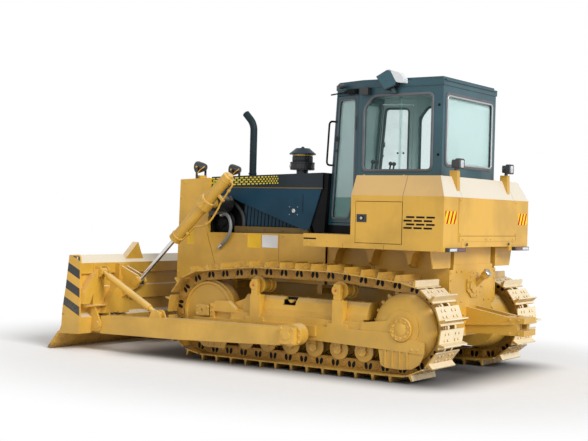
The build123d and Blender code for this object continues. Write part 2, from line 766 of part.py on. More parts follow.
def side_box(hollow):
    """An upright box over the fender with a hipped top and rows of air slots behind its door."""
    inner = cab_half + 4
    outline = [(inner, fender_bottom), (fender_half, fender_bottom), (fender_half, box_top), (ridge_half, cab_ledge_z), (inner, cab_ledge_z)]
    body = cross_plate(outline, box_rear, box_front) & side_plate(hip_profile(box_front), 0, fender_half + 10)
    for row, z in enumerate(vent_rows):
        for k in range(4):
            x = box_seam - 14 - vent_pitch * k - (vent_pitch / 4 if row % 2 else 0)
            if x - vent_length > box_rear + 20:
                body -= block(x - vent_length, x, fender_half - vent_depth, fender_half + 1, z, z + vent_height)
    if hollow:
        t = panel_thickness
        room = [(inner + t, fender_bottom + t), (fender_half + 1, fender_bottom + t), (fender_half + 1, box_top - 60), (inner + t, box_top - 60)]
        body -= cross_plate(room, box_seam, opening_front)
        for z0, z1 in box_pin_spans:
            body += disc_z(box_pin[0], box_pin[1], box_pin_radius, z0, z1)
        body += lamp_bracket(left_lamp_y)
    return body


door_rear = box_seam + running_gap
door_front = opening_front - running_gap
door_low = fender_bottom + panel_thickness + running_gap
door_high = box_top - 60 - running_gap
box_pin = (door_rear + 8, fender_half - panel_thickness / 2)
box_pin_radius = 3.5
box_pin_reach = 24.0
box_pin_spans = ((door_low - running_gap, door_low + box_pin_reach), (door_high - box_pin_reach, door_high + running_gap))
left_lamp_y = cab_half + 40
right_lamp_y = -(cab_half - 85)
lamp_seat_z = 2172.0
keep("side_box_left", side_box(True))
keep("side_box_right", mirrored(side_box(False)))
box_door = block(door_rear, door_front, fender_half - panel_thickness, fender_half, door_low, door_high)
for z0, z1 in box_pin_spans:
    box_door -= disc_z(box_pin[0], box_pin[1], box_pin_radius + clearance, z0 - clearance, z1 + clearance)
keep("side_box_door", box_door)

tank_front = -1750.0
tank = side_plate(hip_profile(tank_front), -cab_half, cab_half) + lamp_bracket(right_lamp_y)
tank += block(box_rear - 6, box_rear, -720, 720, 1443, 1888)
tank += block(case_rear + 10, tank_front, -case_half + 30, case_half - 30, case_top, fender_bottom)
keep("fuel_tank", tank)


# ---------------------------------------------------------------- cab
lean_sin, lean_cos = sin(radians(cab_wall_angle)), cos(radians(cab_wall_angle))
lean_tan = lean_sin / lean_cos


def front_x(z):
    """Where the cab's leaning front stands at a height."""
    return cab_front - cab_lean * (z - cab_floor_z) / (cab_top - cab_floor_z)


def cab_plan(inset, front=cab_front):
    """The cab's plan drawn in by a wall's thickness, with its nose at the given front."""
    y = cab_half - inset
    nose = front - inset
    bend = cab_kink + inset * (1 - 1 / lean_cos) / lean_tan
    half = [(cab_rear + inset, y), (bend, y), (nose, cab_half - inset / lean_cos - (nose - cab_kink) * lean_tan)]
    return half + [(x, -y) for x, y in reversed(half)]


def ahead_of_front(setback):
    """Everything ahead of the leaning front, moved back by a wall's thickness."""
    low, high = cab_floor_z - 200, cab_top + 200
    return side_plate([(front_x(low) - setback, low), (cab_front + 300, low), (cab_front + 300, high), (front_x(high) - setback, high)],
                      -cab_half - 50, cab_half + 50)


deck_rear = tank_front + 1
base_plan = cab_plan(0)
floor_plan = [(deck_rear, cab_half)] + base_plan[1:5] + [(deck_rear, -cab_half)]
cab_base = flat_plate(floor_plan, board_top, cab_floor_z) \
    + block(deck_rear, case_front, -400, 400, case_top, board_top) \
    + block(case_front, -560, -400, 400, fender_bottom, board_top)
keep("cab_base", cab_base)


def cowl():
    """The black bulkhead between the engine bay and the cab."""
    gap = 4
    low, shelf, high = board_top + 4, band_bottom - 8, 2142
    body = side_plate([(front_x(low) + gap, low), (front_x(shelf) + gap, shelf), (engine_rear - 12, shelf), (engine_rear - 12, 1650), (engine_rear - 80, low)],
                      -body_half + 20, body_half - 20)
    body += block(cab_front, cab_front + 40, -body_half + 120, body_half - 120, low, cab_floor_z - 6)
    return body + side_plate([(front_x(shelf) + gap, shelf), (front_x(high) + gap, high), (hood_rear - 6, high), (hood_rear - 6, shelf)],
                             -body_half + 20, body_half - 20)


keep("cowl", cowl())


def wall_point(along, out):
    """A point of the left angled wall: along it from its rear corner, and outward from its face."""
    return (cab_kink + along * lean_cos + out * lean_sin, cab_half - along * lean_sin + out * lean_cos)


def wall_corner(z):
    """How far along the angled wall its front corner is, at a height."""
    return (front_x(z) - cab_kink) / lean_cos


def wall_shape(points, out0, out1):
    """An outline of (along, z) points in the left angled wall, as deep as out0 to out1."""
    start = [(*wall_point(a, out0), z) for a, z in points]
    depth = out1 - out0
    return prism(start, (depth * lean_sin, depth * lean_cos, 0))


door_z0, door_z1 = cab_floor_z + 25, cab_top - 60
doorway_rear = 49.0
corner_post = 22.0
door_frame = 44.0
front_frame = 32.0
pane_lap = 4.0


def door_shape(rear, post, low, high, out0, out1):
    """A shape in the angled wall from a rear edge to a front edge that leans with the corner."""
    return wall_shape([(rear, low), (wall_corner(low) - post, low), (wall_corner(high) - post, high), (rear, high)], out0, out1)


door_pin = (doorway_rear + running_gap + 14, -10.0)
door_pin_radius = 8.0
door_pin_reach = 30.0
pane_thickness = 6.0
window_low, window_high = 2175.0, 2985.0
side_window = (-1850.0, -1015.0)
rear_window_half = 565.0
front_window_half = 400.0
window_round = 60.0


def window_outline(edge, round_off):
    """The side window, whose front upper corner is cut off; edge draws the outline in."""
    rear, front = side_window[0] + edge, side_window[1] - edge
    low, high = window_low + edge, window_high - edge
    return [(rear, low), (front, low), (front, high - 135), (front - 110, high), (rear, high)], round_off


def cab_shell():
    """The welded cab: posts and sills around the window and door openings."""
    low = cab_floor_z + 1
    body = flat_plate(cab_plan(0), low, cab_top) - ahead_of_front(0)
    body -= flat_plate(cab_plan(cab_wall), low - 1, cab_top + 1) - ahead_of_front(cab_wall)
    # the rear part stands on the tank
    body -= block(cab_rear - 10, deck_rear + 2, -1000, 1000, low - 10, cab_ledge_z)
    body -= soft_cross([(-rear_window_half, 2230), (rear_window_half, 2230), (rear_window_half, window_high), (-rear_window_half, window_high)],
                       window_round, cab_rear - 10, cab_rear + cab_wall + 10)
    body -= soft_cross([(-front_window_half, window_low), (front_window_half, window_low), (front_window_half, window_high),
                        (-front_window_half, window_high)], window_round, front_x(cab_top) - cab_wall - 40, cab_front + 10)
    points, rounding = window_outline(0, window_round)
    for side in (1, -1):
        body -= soft_side(points, rounding, side * (cab_half - cab_wall - 10), side * (cab_half + 10))
    opening = door_shape(doorway_rear, corner_post, door_z0, door_z1, -120, 120)
    x, y = wall_point(*door_pin)
    pins = disc_z(x, y, door_pin_radius, door_z0, door_z0 + door_pin_reach) \
        + disc_z(x, y, door_pin_radius, door_z1 - door_pin_reach, door_z1)
    for copy in (lambda shape: shape, mirrored):
        body = body - copy(opening) + copy(pins)
    return body


keep("cab_shell", cab_shell())


def cab_glass():
    """Fixed panes, each seated in its opening."""
    mid = cab_wall / 2
    g = clearance
    y = rear_window_half - g
    rear = soft_cross([(-y, 2230 + g), (y, 2230 + g), (y, window_high - g), (-y, window_high - g)], window_round,
                      cab_rear + mid, cab_rear + mid + pane_thickness)
    y = front_window_half - g
    outline = soft_cross([(-y, window_low + g), (y, window_low + g), (y, window_high - g), (-y, window_high - g)], window_round,
                         front_x(cab_top) - cab_wall, cab_front)
    slab = [(front_x(z) - mid - back, z) for z, back in ((window_low, 0), (window_high, 0), (window_high, pane_thickness), (window_low, pane_thickness))]
    front = outline & side_plate(slab, -y, y)
    points, rounding = window_outline(g, window_round)
    sides = [soft_side(points, rounding, side * (cab_half - mid - pane_thickness), side * (cab_half - mid)) for side in (1, -1)]
    return [rear, front, sides]


keep("cab_glass", cab_glass())


def cab_door():
    """A narrow framed door with glass down to the floor, as thick as the wall, its front edge leaning with the cab."""
    rear, post = doorway_rear + running_gap, corner_post + running_gap
    z0, z1 = door_z0 + running_gap, door_z1 - running_gap
    leaf = door_shape(rear, post, z0, z1, -cab_wall, 0)
    leaf -= door_shape(rear + door_frame, post + front_frame, z0 + door_frame, z1 - door_frame, -100, 100)
    middle = -cab_wall / 2
    leaf += door_shape(rear + door_frame - pane_lap, post + front_frame - pane_lap, z0 + door_frame - pane_lap, z1 - door_frame + pane_lap,
                       middle - pane_thickness / 2, middle + pane_thickness / 2)
    x, y = wall_point(*door_pin)
    radius = door_pin_radius + clearance
    leaf -= disc_z(x, y, radius, door_z0, door_z0 + door_pin_reach + clearance)
    leaf -= disc_z(x, y, radius, door_z1 - door_pin_reach - clearance, door_z1)
    return leaf


door_left = cab_door()
keep("cab_door_left", door_left)
keep("cab_door_right", mirrored(door_left))


roof_front = front_x(cab_top)
roof = flat_plate(cab_plan(-roof_brim, roof_front), cab_top, roof_top - 30) + flat_plate(cab_plan(15, roof_front), roof_top - 30, roof_top)
roof += block(cab_rear - 26, cab_rear, -cab_half + 20, cab_half - 20, roof_top - 44, roof_top - 30)
keep("cab_roof", roof)

seat_low = cab_floor_z + 400
seat = block(-1690, -1250, -260, 260, seat_low, seat_low + 140) + block(-1740, -1640, -250, 250, seat_low + 100, seat_low + 620)
seat += block(-1640, -1300, -180, 180, cab_floor_z, seat_low)
keep("seat", seat)
desk_z = cab_floor_z + 470
console = block(-900, -640, -330, 330, cab_floor_z, desk_z)
levers = [bar((-860, y, desk_z), (-900, y, desk_z + 240), 10) + (Pos(-900, y, desk_z + 250) * Sphere(24)) for y in (-240, -160, 160, 240)]
for lever in levers:
    console += lever
for y0 in (290, -420):
    console += block(-1560, -1100, y0, y0 + 130, cab_floor_z, seat_low + 220)
keep("controls", console)

# ---------------------------------------------------------------- lamps and handles
bell_rows = ((-78, 24), (-70, 38), (-40, 52), (10, 66), (40, 74), (58, 74))


def front_lamp(y):
    """A round lamp that faces forward in a yoke."""
    z = lamp_pad_z + 142
    lamp = turned_x(y, z, [(lamp_x + dx, r) for dx, r in bell_rows])
    lamp += block(lamp_x - 15, lamp_x + 15, y - 88, y + 88, lamp_pad_z, lamp_pad_z + 8)
    for side in (1, -1):
        lamp += block(lamp_x - 15, lamp_x + 15, y + side * 80, y + side * 88, lamp_pad_z, z + 16)
        lamp += disc_y(lamp_x, z, 9, y + side * 50, y + side * 88)
    return lamp


def rear_lamp(y):
    """A squared lamp that faces the rear, on a short stalk."""
    z = lamp_seat_z + 70
    lamp = soft_cross([(y - 66, z - 54), (y + 66, z - 54), (y + 66, z + 54), (y - 66, z + 54)], 22, -2216, -2178)
    lamp += soft_cross([(y - 52, z - 42), (y + 52, z - 42), (y + 52, z + 42), (y - 52, z + 42)], 20, -2180, -2130)
    return lamp + block(-2170, -2146, y - 18, y + 18, lamp_seat_z, z - 38)


def roof_lamp():
    """The squared lamp beside the roof, tipped to the rear, on its arm from the wall."""
    body = side_plate([(-1212, 3174), (-1344, 3239), (-1480, 3185), (-1450, 3070), (-1320, 3026)], cab_half + 14, cab_half + 104)
    arm = side_plate([(-1440, 2998), (-1400, 2998), (-1376, 3060), (-1416, 3060)], cab_half + clearance, cab_half + 60)
    return body + arm


tail_lamps = both_sides(block(box_rear - 42, box_rear, 620, 1000, 1338, fender_bottom - 4))
corner_lamp = block(-1100, -995, cab_half + clearance, cab_half + 78, 2990, 3068)
work_lamps = [front_lamp(front_lamp_y), front_lamp(-front_lamp_y), rear_lamp(left_lamp_y), rear_lamp(right_lamp_y), roof_lamp(), corner_lamp]
keep("work_lamps", work_lamps, tail_lamps)
handle_low, handle_high = 2240.0, 2727.0
handle_reach = 86.0
handle_inset = 6.0


def handle_point(z, out):
    return (*wall_point(wall_corner(z) - handle_inset, out), z)


handle = pipe([handle_point(handle_low, 0), handle_point(handle_low, handle_reach), handle_point(handle_high, handle_reach),
               handle_point(handle_high, 0)], 11, 40)
keep("grab_handles", both_sides(handle))

# ---------------------------------------------------------------- blade and push arms
low_back = 2212.0
blade_foot = (2540.0, 195.0)
blade_shoulder = 1040.0        # the back edge of the top panel
lift_hole = (2268.0, 1095.0)   # in the end plates, for lifting the blade
lift_bore = 45.0
mould_top = (2393.0, blade_top)
mould_mid = (2412.0, 655.0)
mould_low = (2561.0, 211.0)
arm_middle = (arm_inner + arm_outer) / 2
brace_high = (2150.0, arm_middle, 939.0)
ear_gap = 2.0


def blade():
    """The mouldboard with its stepped back, end plates and clevises."""
    inner = blade_half - 25
    back = [(2219, blade_shoulder), (2219, 915), (2262, 905), (2262, 760), (2235, 750), (2235, 590), (2290, 580), (2290, 440),
            (2206, 403), (low_back, 209), blade_foot]
    line = [Vector(x, -inner, z) for x, z in [mould_low] + list(reversed(back)) + [mould_top]]
    edges = [Edge.make_line(a, b) for a, b in zip(line, line[1:])]
    edges.append(Edge.make_three_point_arc(line[-1], Vector(mould_mid[0], -inner, mould_mid[1]), line[0]))
    body = Part() + Solid.extrude(Face(Wire(edges)), Vector(0, 2 * inner, 0))
    end = [(2219, 1110), (2240, 1140), mould_top, (2440, 760), (2487, 496), (2503, 245), mould_low, blade_foot, (low_back, 209), (2206, 403)]
    for side in (1, -1):
        plate = side_plate(end, side * inner, side * blade_half)
        body += plate - disc_y(lift_hole[0], lift_hole[1], lift_bore / 2, side * (inner - 5), side * (blade_half + 5))
    # gussets that stiffen the top edge
    for side in (1, -1):
        body += cross_plate([(side * y, z) for y, z in ((832, blade_shoulder), (565, 1283), (452, blade_shoulder))], 2290, 2385)
    # columns, slanted boxes, and the clevises for braces and lift cylinders
    px, pz = rod_pin
    bx, by, bz = brace_high
    for side in (1, -1):
        y = side * by
        body += block(2205, 2300, y - 90, y + 90, 430, blade_shoulder - 10)
        for offset in (-60, 60):
            body += side_plate([(2215, bz + 62), (bx - 25, bz + 62), (bx - 55, bz + 20), (bx - 55, bz - 24), (bx - 25, bz - 62), (2215, bz - 62)],
                               y + offset - 14, y + offset + 14)
        slant = [(blade_half - 648, 900), (blade_half - 798, 700), (blade_half - 558, 440), (blade_half - 318, 440)]
        body += cross_plate([(side * a, z) for a, z in slant], 2130, 2262)
        corner = [(by + 60, 985), (by + 60, 860), (blade_half - 110, 560), (blade_half - 25, 560), (blade_half - 25, 700)]
        body += cross_plate([(side * a, z) for a, z in corner], 2150, 2262)
        y = side * lift_y
        body += block(2150, 2300, y - 95, y + 95, 430, blade_shoulder - 10)
        for offset in (-1, 1):
            near = y + offset * (rod_eye_width / 2 + clearance)
            far = near + offset * 26
            ear = side_plate([(2155, 1000), (px - 20, pz + 75), (px - 75, pz), (px - 20, pz - 75), (2155, 600)], near, far)
            ear += disc_y(px, pz, 55, near, far + offset * 14)
            body += ear
        # curved ears on both sides of the push arm, with the pin's caps
        ear_outline = [(2221, 545), (2180, 545), (2120, 450), (2066, 350), (2060, 300), (2085, 244), (2221, 230)]
        for near, far in ((arm_outer + ear_gap, arm_outer + ear_gap + 25), (arm_inner - ear_gap, arm_inner - ear_gap - 25)):
            body += side_plate(ear_outline, side * near, side * far)
            body += disc_y(2118, 312, 44, side * near, side * (far + (16 if far > near else -16)))
        body += block(2130, 2221, side * (arm_inner - ear_gap - 25), side * (blade_half - 60), 530, 545)
    return body


keep("blade", blade())
edge = [mould_low, blade_foot, (2660, edge_gap), (blade_tip_x, edge_gap), (blade_tip_x - 8, edge_gap + 22)]
keep("cutting_edge", side_plate(edge, -blade_half, blade_half))

cap_outer = 1500.0


def push_arm():
    """A long box arm from the trunnion to the blade."""
    arm = side_plate([(-520, 292), (-520, 478), (930, 463), (2080, 419), (2080, 211), (930, 234)], arm_inner, arm_outer)
    arm += disc_y(trunnion_x, trunnion_z, 118, arm_inner, arm_outer)
    arm += block(trunnion_x, -500, arm_inner, arm_outer, trunnion_z - 105, trunnion_z + 90)
    arm += block(trunnion_x - 96, trunnion_x + 84, arm_outer, cap_outer - 10, trunnion_z - 88, trunnion_z + 88)
    arm += disc_y(trunnion_x, trunnion_z, 44, cap_outer - 10, cap_outer + 4)
    arm -= disc_y(trunnion_x, trunnion_z, trunnion_radius + clearance, arm_inner - 1, 1481)
    # end that fits between the blade's ears
    arm += side_plate([(2000, 215), (2000, 425), (2160, 405), (2200, 330), (2200, 215)], arm_inner + 20, arm_outer - 20)
    # ears for the brace
    bx, by, bz = brace_low
    for y in (by - 45, by + 45):
        arm += side_plate([(bx - 90, 440), (bx - 50, bz + 34), (bx - 22, bz + 50), (bx + 22, bz + 50), (bx + 50, bz + 34), (bx + 90, 435)],
                          y - 13, y + 13)
    return arm


brace_low = (1262.0, arm_middle, 488.0)
arm_left = push_arm()
keep("push_arm_left", arm_left)
keep("push_arm_right", mirrored(arm_left))


def brace_point(share):
    return [a + share * (b - a) for a, b in zip(brace_low, brace_high)]


brace = bar(brace_low, brace_high, 26) + bar(brace_point(0.14), brace_point(0.88), 40)
brace += disc_y(brace_low[0], brace_low[2], 33, brace_low[1] - 31.7, brace_low[1] + 31.7)
brace += disc_y(brace_high[0], brace_high[2], 40, brace_high[1] - 45.7, brace_high[1] + 45.7)
tilt = brace + bar(brace_point(0.2), brace_point(0.65), 62)
keep("blade_braces", brace, mirrored(tilt))

# ---------------------------------------------------------------- lift cylinders
drop = (rod_pin[0] - barrel_pivot[0], rod_pin[1] - barrel_pivot[1])
stretch = hypot(*drop)
aim = (drop[0] / stretch, drop[1] / stretch)


def along(distance, y=lift_y):
    """A point on the left cylinder's axis, measured from its pivot towards the rod's eye."""
    return barrel_pivot[0] + aim[0] * distance, y, barrel_pivot[1] + aim[1] * distance


def lift_barrel():
    body = bar(along(-barrel_above), along(barrel_below), barrel_radius)
    body += bar(along(barrel_below - 70), along(barrel_below), barrel_radius + 8)
    body -= bar(along(-barrel_above + 40), along(barrel_below - 45), barrel_bore)
    body -= bar(along(0), along(barrel_below + 1), rod_radius + clearance)
    # yoke that carries the barrel, and its shaft into the bracket
    body += bar(along(-60), along(60), barrel_radius + 28) - bar(along(-61), along(61), barrel_bore + 2)
    body += disc_y(barrel_pivot[0], barrel_pivot[1], 55, body_half + 51, lift_y - barrel_radius)
    return body


def lift_rod():
    eye_at = stretch
    body = bar(along(eye_at - rod_length), along(eye_at - rod_eye_radius + 10), rod_radius)
    body += bar(along(eye_at - rod_length), along(eye_at - rod_length + 60), barrel_bore - clearance)
    body += disc_y(rod_pin[0], rod_pin[1], rod_eye_radius, lift_y - rod_eye_width / 2, lift_y + rod_eye_width / 2)
    return body


barrel_left, rod_left = lift_barrel(), lift_rod()
keep("lift_barrel_left", barrel_left)
keep("lift_barrel_right", mirrored(barrel_left))
keep("lift_rod_left", rod_left)
keep("lift_rod_right", mirrored(rod_left))

# ---------------------------------------------------------------- output
os.makedirs("parts", exist_ok=True)
for name, pieces in nodes.items():
    shape = pieces[0] if len(pieces) == 1 else Compound(children=pieces)
    export_step(shape, f"parts/{name}.step")
    print(name, len(pieces), "solid(s)", round(sum(piece.volume for piece in pieces) / 1e6, 2), "litres")
print("idler x", round(idler_x, 1))
print("cab door axis", [round(v, 2) for v in wall_point(*door_pin)], "box door axis", box_pin)
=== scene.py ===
# %% [markdown]
# # A crawler dozer, dressed
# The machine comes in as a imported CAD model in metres: +X runs forward to the blade, +Y to the
# left and +Z up. The CAD bodies stay where they are. This lesson gives each of them a worked-out
# finish, adds the small things that a modeller leaves to the picture (bolts, hoses, lenses,
# seals, wipers), and sets up a plain pale studio. Everything new is computed as arrays of points.

# %% Load the frame
import bmesh
import bpy
import json
import math
import numpy as np
from mathutils import Matrix


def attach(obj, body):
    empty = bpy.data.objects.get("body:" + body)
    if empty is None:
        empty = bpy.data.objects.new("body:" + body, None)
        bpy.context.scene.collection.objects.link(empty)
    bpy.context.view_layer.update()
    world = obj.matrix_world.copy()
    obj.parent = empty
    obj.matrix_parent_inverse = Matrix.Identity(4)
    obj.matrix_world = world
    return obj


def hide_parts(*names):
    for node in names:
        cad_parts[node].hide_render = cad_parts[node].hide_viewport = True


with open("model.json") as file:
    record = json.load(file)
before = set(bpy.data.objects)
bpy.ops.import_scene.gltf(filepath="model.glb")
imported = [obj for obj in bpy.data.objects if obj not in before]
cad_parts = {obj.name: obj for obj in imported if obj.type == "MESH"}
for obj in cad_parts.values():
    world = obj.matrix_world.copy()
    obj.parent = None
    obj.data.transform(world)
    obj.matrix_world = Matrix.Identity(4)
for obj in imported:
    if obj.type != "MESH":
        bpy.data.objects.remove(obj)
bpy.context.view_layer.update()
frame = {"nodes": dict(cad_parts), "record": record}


# %% [markdown]
# ## Camera
# A long lens from the rear left shows the side, the back and the inner face of the blade at once.
# The camera stands at eye height, almost level, and is rolled by a degree and a half. Its three
# axes are worked out from the heading, so no tracking constraint is needed.

# %% Camera
def unit(v):
    """A vector, or each row of many, scaled to length 1."""
    return v / np.linalg.norm(v, axis=-1, keepdims=True)


def put(name, data):
    """A new object that holds a mesh, a lamp or a camera, linked into the scene."""
    made = bpy.data.objects.new(name, data)
    bpy.context.scene.collection.objects.link(made)
    return made


def stood(columns, place=(0, 0, 0)):
    """The matrix whose three axes are these columns, at a place."""
    return Matrix([(*row, p) for row, p in zip(np.stack(columns, 1), place)] + [(0, 0, 0, 1)])


heading, pitch_up, roll = np.radians((214.644, 0.238, 1.499))
sensor, wide, focal, standpoint = 36.0, 588, 1154.5, (-7.532, 11.39, 1.67)
ahead = np.array([-math.sin(heading) * math.cos(pitch_up), math.cos(heading) * math.cos(pitch_up),
                  -math.sin(pitch_up)])
right = unit(np.cross(ahead, (0, 0, 1)))
above = np.cross(right, ahead)
right, above = (math.cos(roll) * right + math.sin(roll) * above,
                math.cos(roll) * above - math.sin(roll) * right)
lens = bpy.data.cameras.new("studio_camera")
lens.sensor_width, lens.lens = sensor, sensor * focal / wide
lens.shift_x, lens.shift_y = 1.5 / wide, -0.6 / wide
camera = put("studio_camera", lens)
camera.matrix_world = stood([right, above, -ahead], standpoint)
bpy.context.scene.camera = camera
bpy.context.scene.view_settings.view_transform = "Standard"
print("lens", round(lens.lens, 1), "mm")

# %% [markdown]
# ## Shader maths
# A finish is a recipe of masks: how dusty, how worn, how bright. Written as node links that is
# hard to read, so one small class wraps the output of a node and lets Python's own signs build
# the Math nodes. Any other node comes from its one method, `node`.

# %% Shader expressions
def sign(operation):
    """What one of Python's signs does between a signal and another, or a number: it adds a Math node."""
    return lambda self, other: self.maths(operation, other)


class Signal:
    """One output of a shader node. Python's signs between signals add Math nodes."""

    def __init__(self, socket):
        self.socket, self.tree = socket, socket.id_data

    def node(self, kind, settings=None, inputs=None, output=0):
        """A new node: its settings are set first, then its inputs get values or links."""
        made = self.tree.nodes.new(kind)
        for name, value in (settings or {}).items():
            setattr(made, name, value)
        for name, value in (inputs or {}).items():
            if isinstance(value, Signal):
                self.tree.links.new(value.socket, made.inputs[name])
            else:
                made.inputs[name].default_value = value
        return Signal(made.outputs[output])

    def maths(self, operation, *others):
        """This signal, with others after it, through one Math node."""
        return self.node("ShaderNodeMath", {"operation": operation}, dict(enumerate((self, *others))))

    __add__, __sub__, __mul__, __truediv__ = map(sign, ("ADD", "SUBTRACT", "MULTIPLY", "DIVIDE"))
    __gt__, __lt__, __radd__, __rmul__ = sign("GREATER_THAN"), sign("LESS_THAN"), __add__, __mul__

    def __rsub__(self, other):
        return self.node("ShaderNodeMath", {"operation": "SUBTRACT"}, {0: other, 1: self})

    def __abs__(self):
        return self.maths("ABSOLUTE")

    def ramp(self, low, high):
        """0 below low, 1 above high, smooth between."""
        return self.node("ShaderNodeMapRange", {"interpolation_type": "SMOOTHSTEP", "clamp": True},
                         {"Value": self, "From Min": low, "From Max": high})

    def mix(self, first, second):
        """A colour between two colours, by this mask."""
        colours = {n: c if isinstance(c, Signal) else (*c, 1) for n, c in ((6, first), (7, second))}
        return self.node("ShaderNodeMix", {"data_type": "RGBA", "clamp_factor": True},
                         {0: self, **colours}, 2)


finishes, slot_of = {}, {}


def new_finish(name, slot="body_yellow"):
    """An empty material of a slot: returns its surface shader, and its object coordinates as a signal."""
    finishes[name], slot_of[name] = bpy.data.materials.new(name), slot
    finishes[name].use_nodes = True
    nodes = finishes[name].node_tree.nodes
    return nodes["Principled BSDF"], Signal(nodes.new("ShaderNodeTexCoord").outputs["Object"])


def noise(place, scale, detail=3, stretch=None):
    """Cloudy noise of this many lumps a metre; stretch squeezes the pattern along an axis."""
    if stretch:
        place = place.node("ShaderNodeVectorMath", {"operation": "MULTIPLY"}, {0: place, 1: stretch})
    return place.node("ShaderNodeTexNoise", {},
                      {"Vector": place, "Scale": scale, "Detail": detail, "Roughness": 0.55})


def axes(place):
    """The x, y and z of a place, each a signal."""
    split = place.tree.nodes.new("ShaderNodeSeparateXYZ")
    place.tree.links.new(place.socket, split.inputs[0])
    return [Signal(out) for out in split.outputs]


def faces_of(place):
    """The x, y and z of the way the surface faces."""
    return axes(place.node("ShaderNodeNewGeometry", output=1))


def dress(shader, **inputs):
    """Sets or links a surface shader's sockets; underscores stand for spaces."""
    for name, value in inputs.items():
        socket = shader.inputs[name.replace("_", " ")]
        if isinstance(value, Signal):
            value.tree.links.new(value.socket, socket)
        else:
            socket.default_value = value


def bump(height, strength, distance):
    """Turns a height signal into a normal."""
    return height.node("ShaderNodeBump", {}, {"Height": height, "Strength": strength, "Distance": distance})


print("shader helpers ready")

# %% [markdown]
# ## Machine paint
# Machine paint goes on thick with a spray gun. Close up it has a fine orange-peel ripple, from a
# step away its tone drifts a little, and near the ground dry dust settles on it. A single flat
# colour would look like plastic, so the paint mixes three tones by noise and by height.

# %% Paint
def paint(name, tone, slot="body_yellow", rough=0.42, dust=0.0, dust_top=0.8, dusty=(0.42, 0.3, 0.14),
          coat=0.0, shine=0.5, dust_and_sheen=0.0, marks=None):
    """Sprayed paint: tone drifts with slow noise, dust fades out with height, a fine ripple bends the light.
    A share pales what faces up, partly as dust and partly as a painted sheen of the light from above. The
    hips of the tank get a painted highlight, palest where they face the rear.
    marks, if given, takes the place and the tone so far and returns the tone with its painted marks."""
    shader, place = new_finish(name, slot)
    x, y, z = axes(place)
    drift = noise(place, 1.7, 4)
    deeper = tuple(c * 0.86 for c in tone)
    paler = tuple(min(1, c * 1.1 + 0.004) for c in tone)
    colour = drift.ramp(0.35, 0.65).mix(deeper, paler)
    colour = (noise(place, 9, 3, (1, 1, 0.12)).ramp(0.52, 0.75) * 0.22).mix(colour, deeper)
    if marks:
        colour = marks(place, colour)
    if dust_and_sheen:
        facing = faces_of(place)
        back, over = (facing[0] * -1.0).ramp(0.3, 0.8), facing[2]
        # Painted sheen: faces that look up are paled, partly dust and partly the light from above.
        colour = (over.ramp(0.3, 0.95) * dust_and_sheen).mix(colour, (0.8, 0.7, 0.46))
        # Painted highlight on the tank's hips, palest where they face the rear light.
        hip_highlight = over.ramp(0.3, 0.4) * (1 - over.ramp(0.6, 0.7)) * (z > 1.885) * (z < 2.112) * (x < -0.53)
        hip_highlight_tone = back.mix((0.54, 0.4, 0.27), (0.66, 0.63, 0.55))
        colour = (hip_highlight * (0.4 + back * 0.45)).mix(colour, hip_highlight_tone)
    dirt = (1 - z.ramp(0.1, dust_top)) * noise(place, 38, 5).ramp(0.38, 0.62) * dust
    dress(shader, Base_Color=dirt.mix(colour, dusty), Roughness=rough + drift * 0.1 + dirt * 0.4 - 0.05,
          Metallic=0, Specular_IOR_Level=shine, Coat_Weight=coat, Coat_Roughness=0.25,
          Normal=bump(noise(place, 260, 2), 0.1, 0.0012))


yellow, worn_coat = (0.58, 0.325, 0.036), dict(dust=0.3, coat=0.15)
paint("machine_yellow", yellow, dust_and_sheen=0.34, **worn_coat)
print("paint ready")

# %% [markdown]
# ## Track steel
# The track is painted with the rest, but the shoes' bars and the edges that meet the ground wear
# through to brown and dark steel after the first metres. Two noises decide where the paint has
# gone, the rails' sides are brown, partly the chain's own colour and partly painted shade behind the
# raised links, and the shoes at the rear end that face the rear and up carry a painted highlight.

# %% Track steel
def worn_track(name):
    """Yellow paint over steel: where the noise is high the paint is thin and brown steel shows."""
    shader, place = new_finish(name, name)
    x, y, z = axes(place)
    facing = faces_of(place)
    fine = noise(place, 60, 4)
    grime = (noise(place, 7, 6) * 0.6 + fine * 0.4).ramp(0.46, 0.62)
    ground = 1 - z.ramp(0.0, 0.1)
    # Rails' sides: brown, partly the chain's own colour and partly painted shade behind the raised links.
    rails = (abs(abs(y) - 0.94) < 0.115) * (abs(facing[1]) > 0.55)
    # Painted highlight: shoes at the rear end that face the rear and up are paled.
    rear_highlight = (facing[2] * 0.45 - facing[0] * 0.9).ramp(0.1, 0.9) * (1 - x.ramp(-2.1, -1.75))
    colour = (grime * 0.55).mix((0.52, 0.295, 0.045), (0.2, 0.12, 0.04))
    colour = (rails * 0.8).mix(colour, (0.33, 0.165, 0.018))
    colour = (rear_highlight * (0.62 + fine.ramp(0.3, 0.55) * 0.18)).mix(colour, (0.84, 0.76, 0.56))
    colour = (ground * fine.ramp(0.35, 0.6) * 0.8).mix(colour, (0.12, 0.085, 0.055))
    dress(shader, Base_Color=colour, Roughness=0.42 + grime * 0.25, Metallic=0.15 + ground * 0.5,
          Normal=bump(fine, 0.25, 0.002))


worn_track("track_steel")

# %% [markdown]
# ## Dark paint, glass, rubber and the rest
# The cab and the hood wear a dark blue-grey. Glass is a thin tinted pane: most of the light goes
# straight through and picks up green, and the rest is mirrored, more at a glancing angle.

# %% Cab paint and glass
kink_x, cab_y, wall_turn = -0.98, 0.64, math.radians(19.18)


def cab_lining(place, colour):
    """Inside the cab the walls are lined in pale grey-green: every point further in than their inner faces.
    For the angled walls, that distance is (x + 0.98) sin a + (|y| - 0.64) cos a."""
    x, y, z = axes(place)
    slanted = (x - kink_x) * math.sin(wall_turn) + (abs(y) - cab_y) * math.cos(wall_turn)
    inside = (abs(y) < 0.592) * (slanted < -0.048) * (x > -1.922) * ((x + z * 0.0673) < -0.418) * (z < 3.0705)
    return inside.mix(colour, x.ramp(-1.5, -0.6).mix((0.24, 0.38, 0.36), (0.64, 0.78, 0.76)))


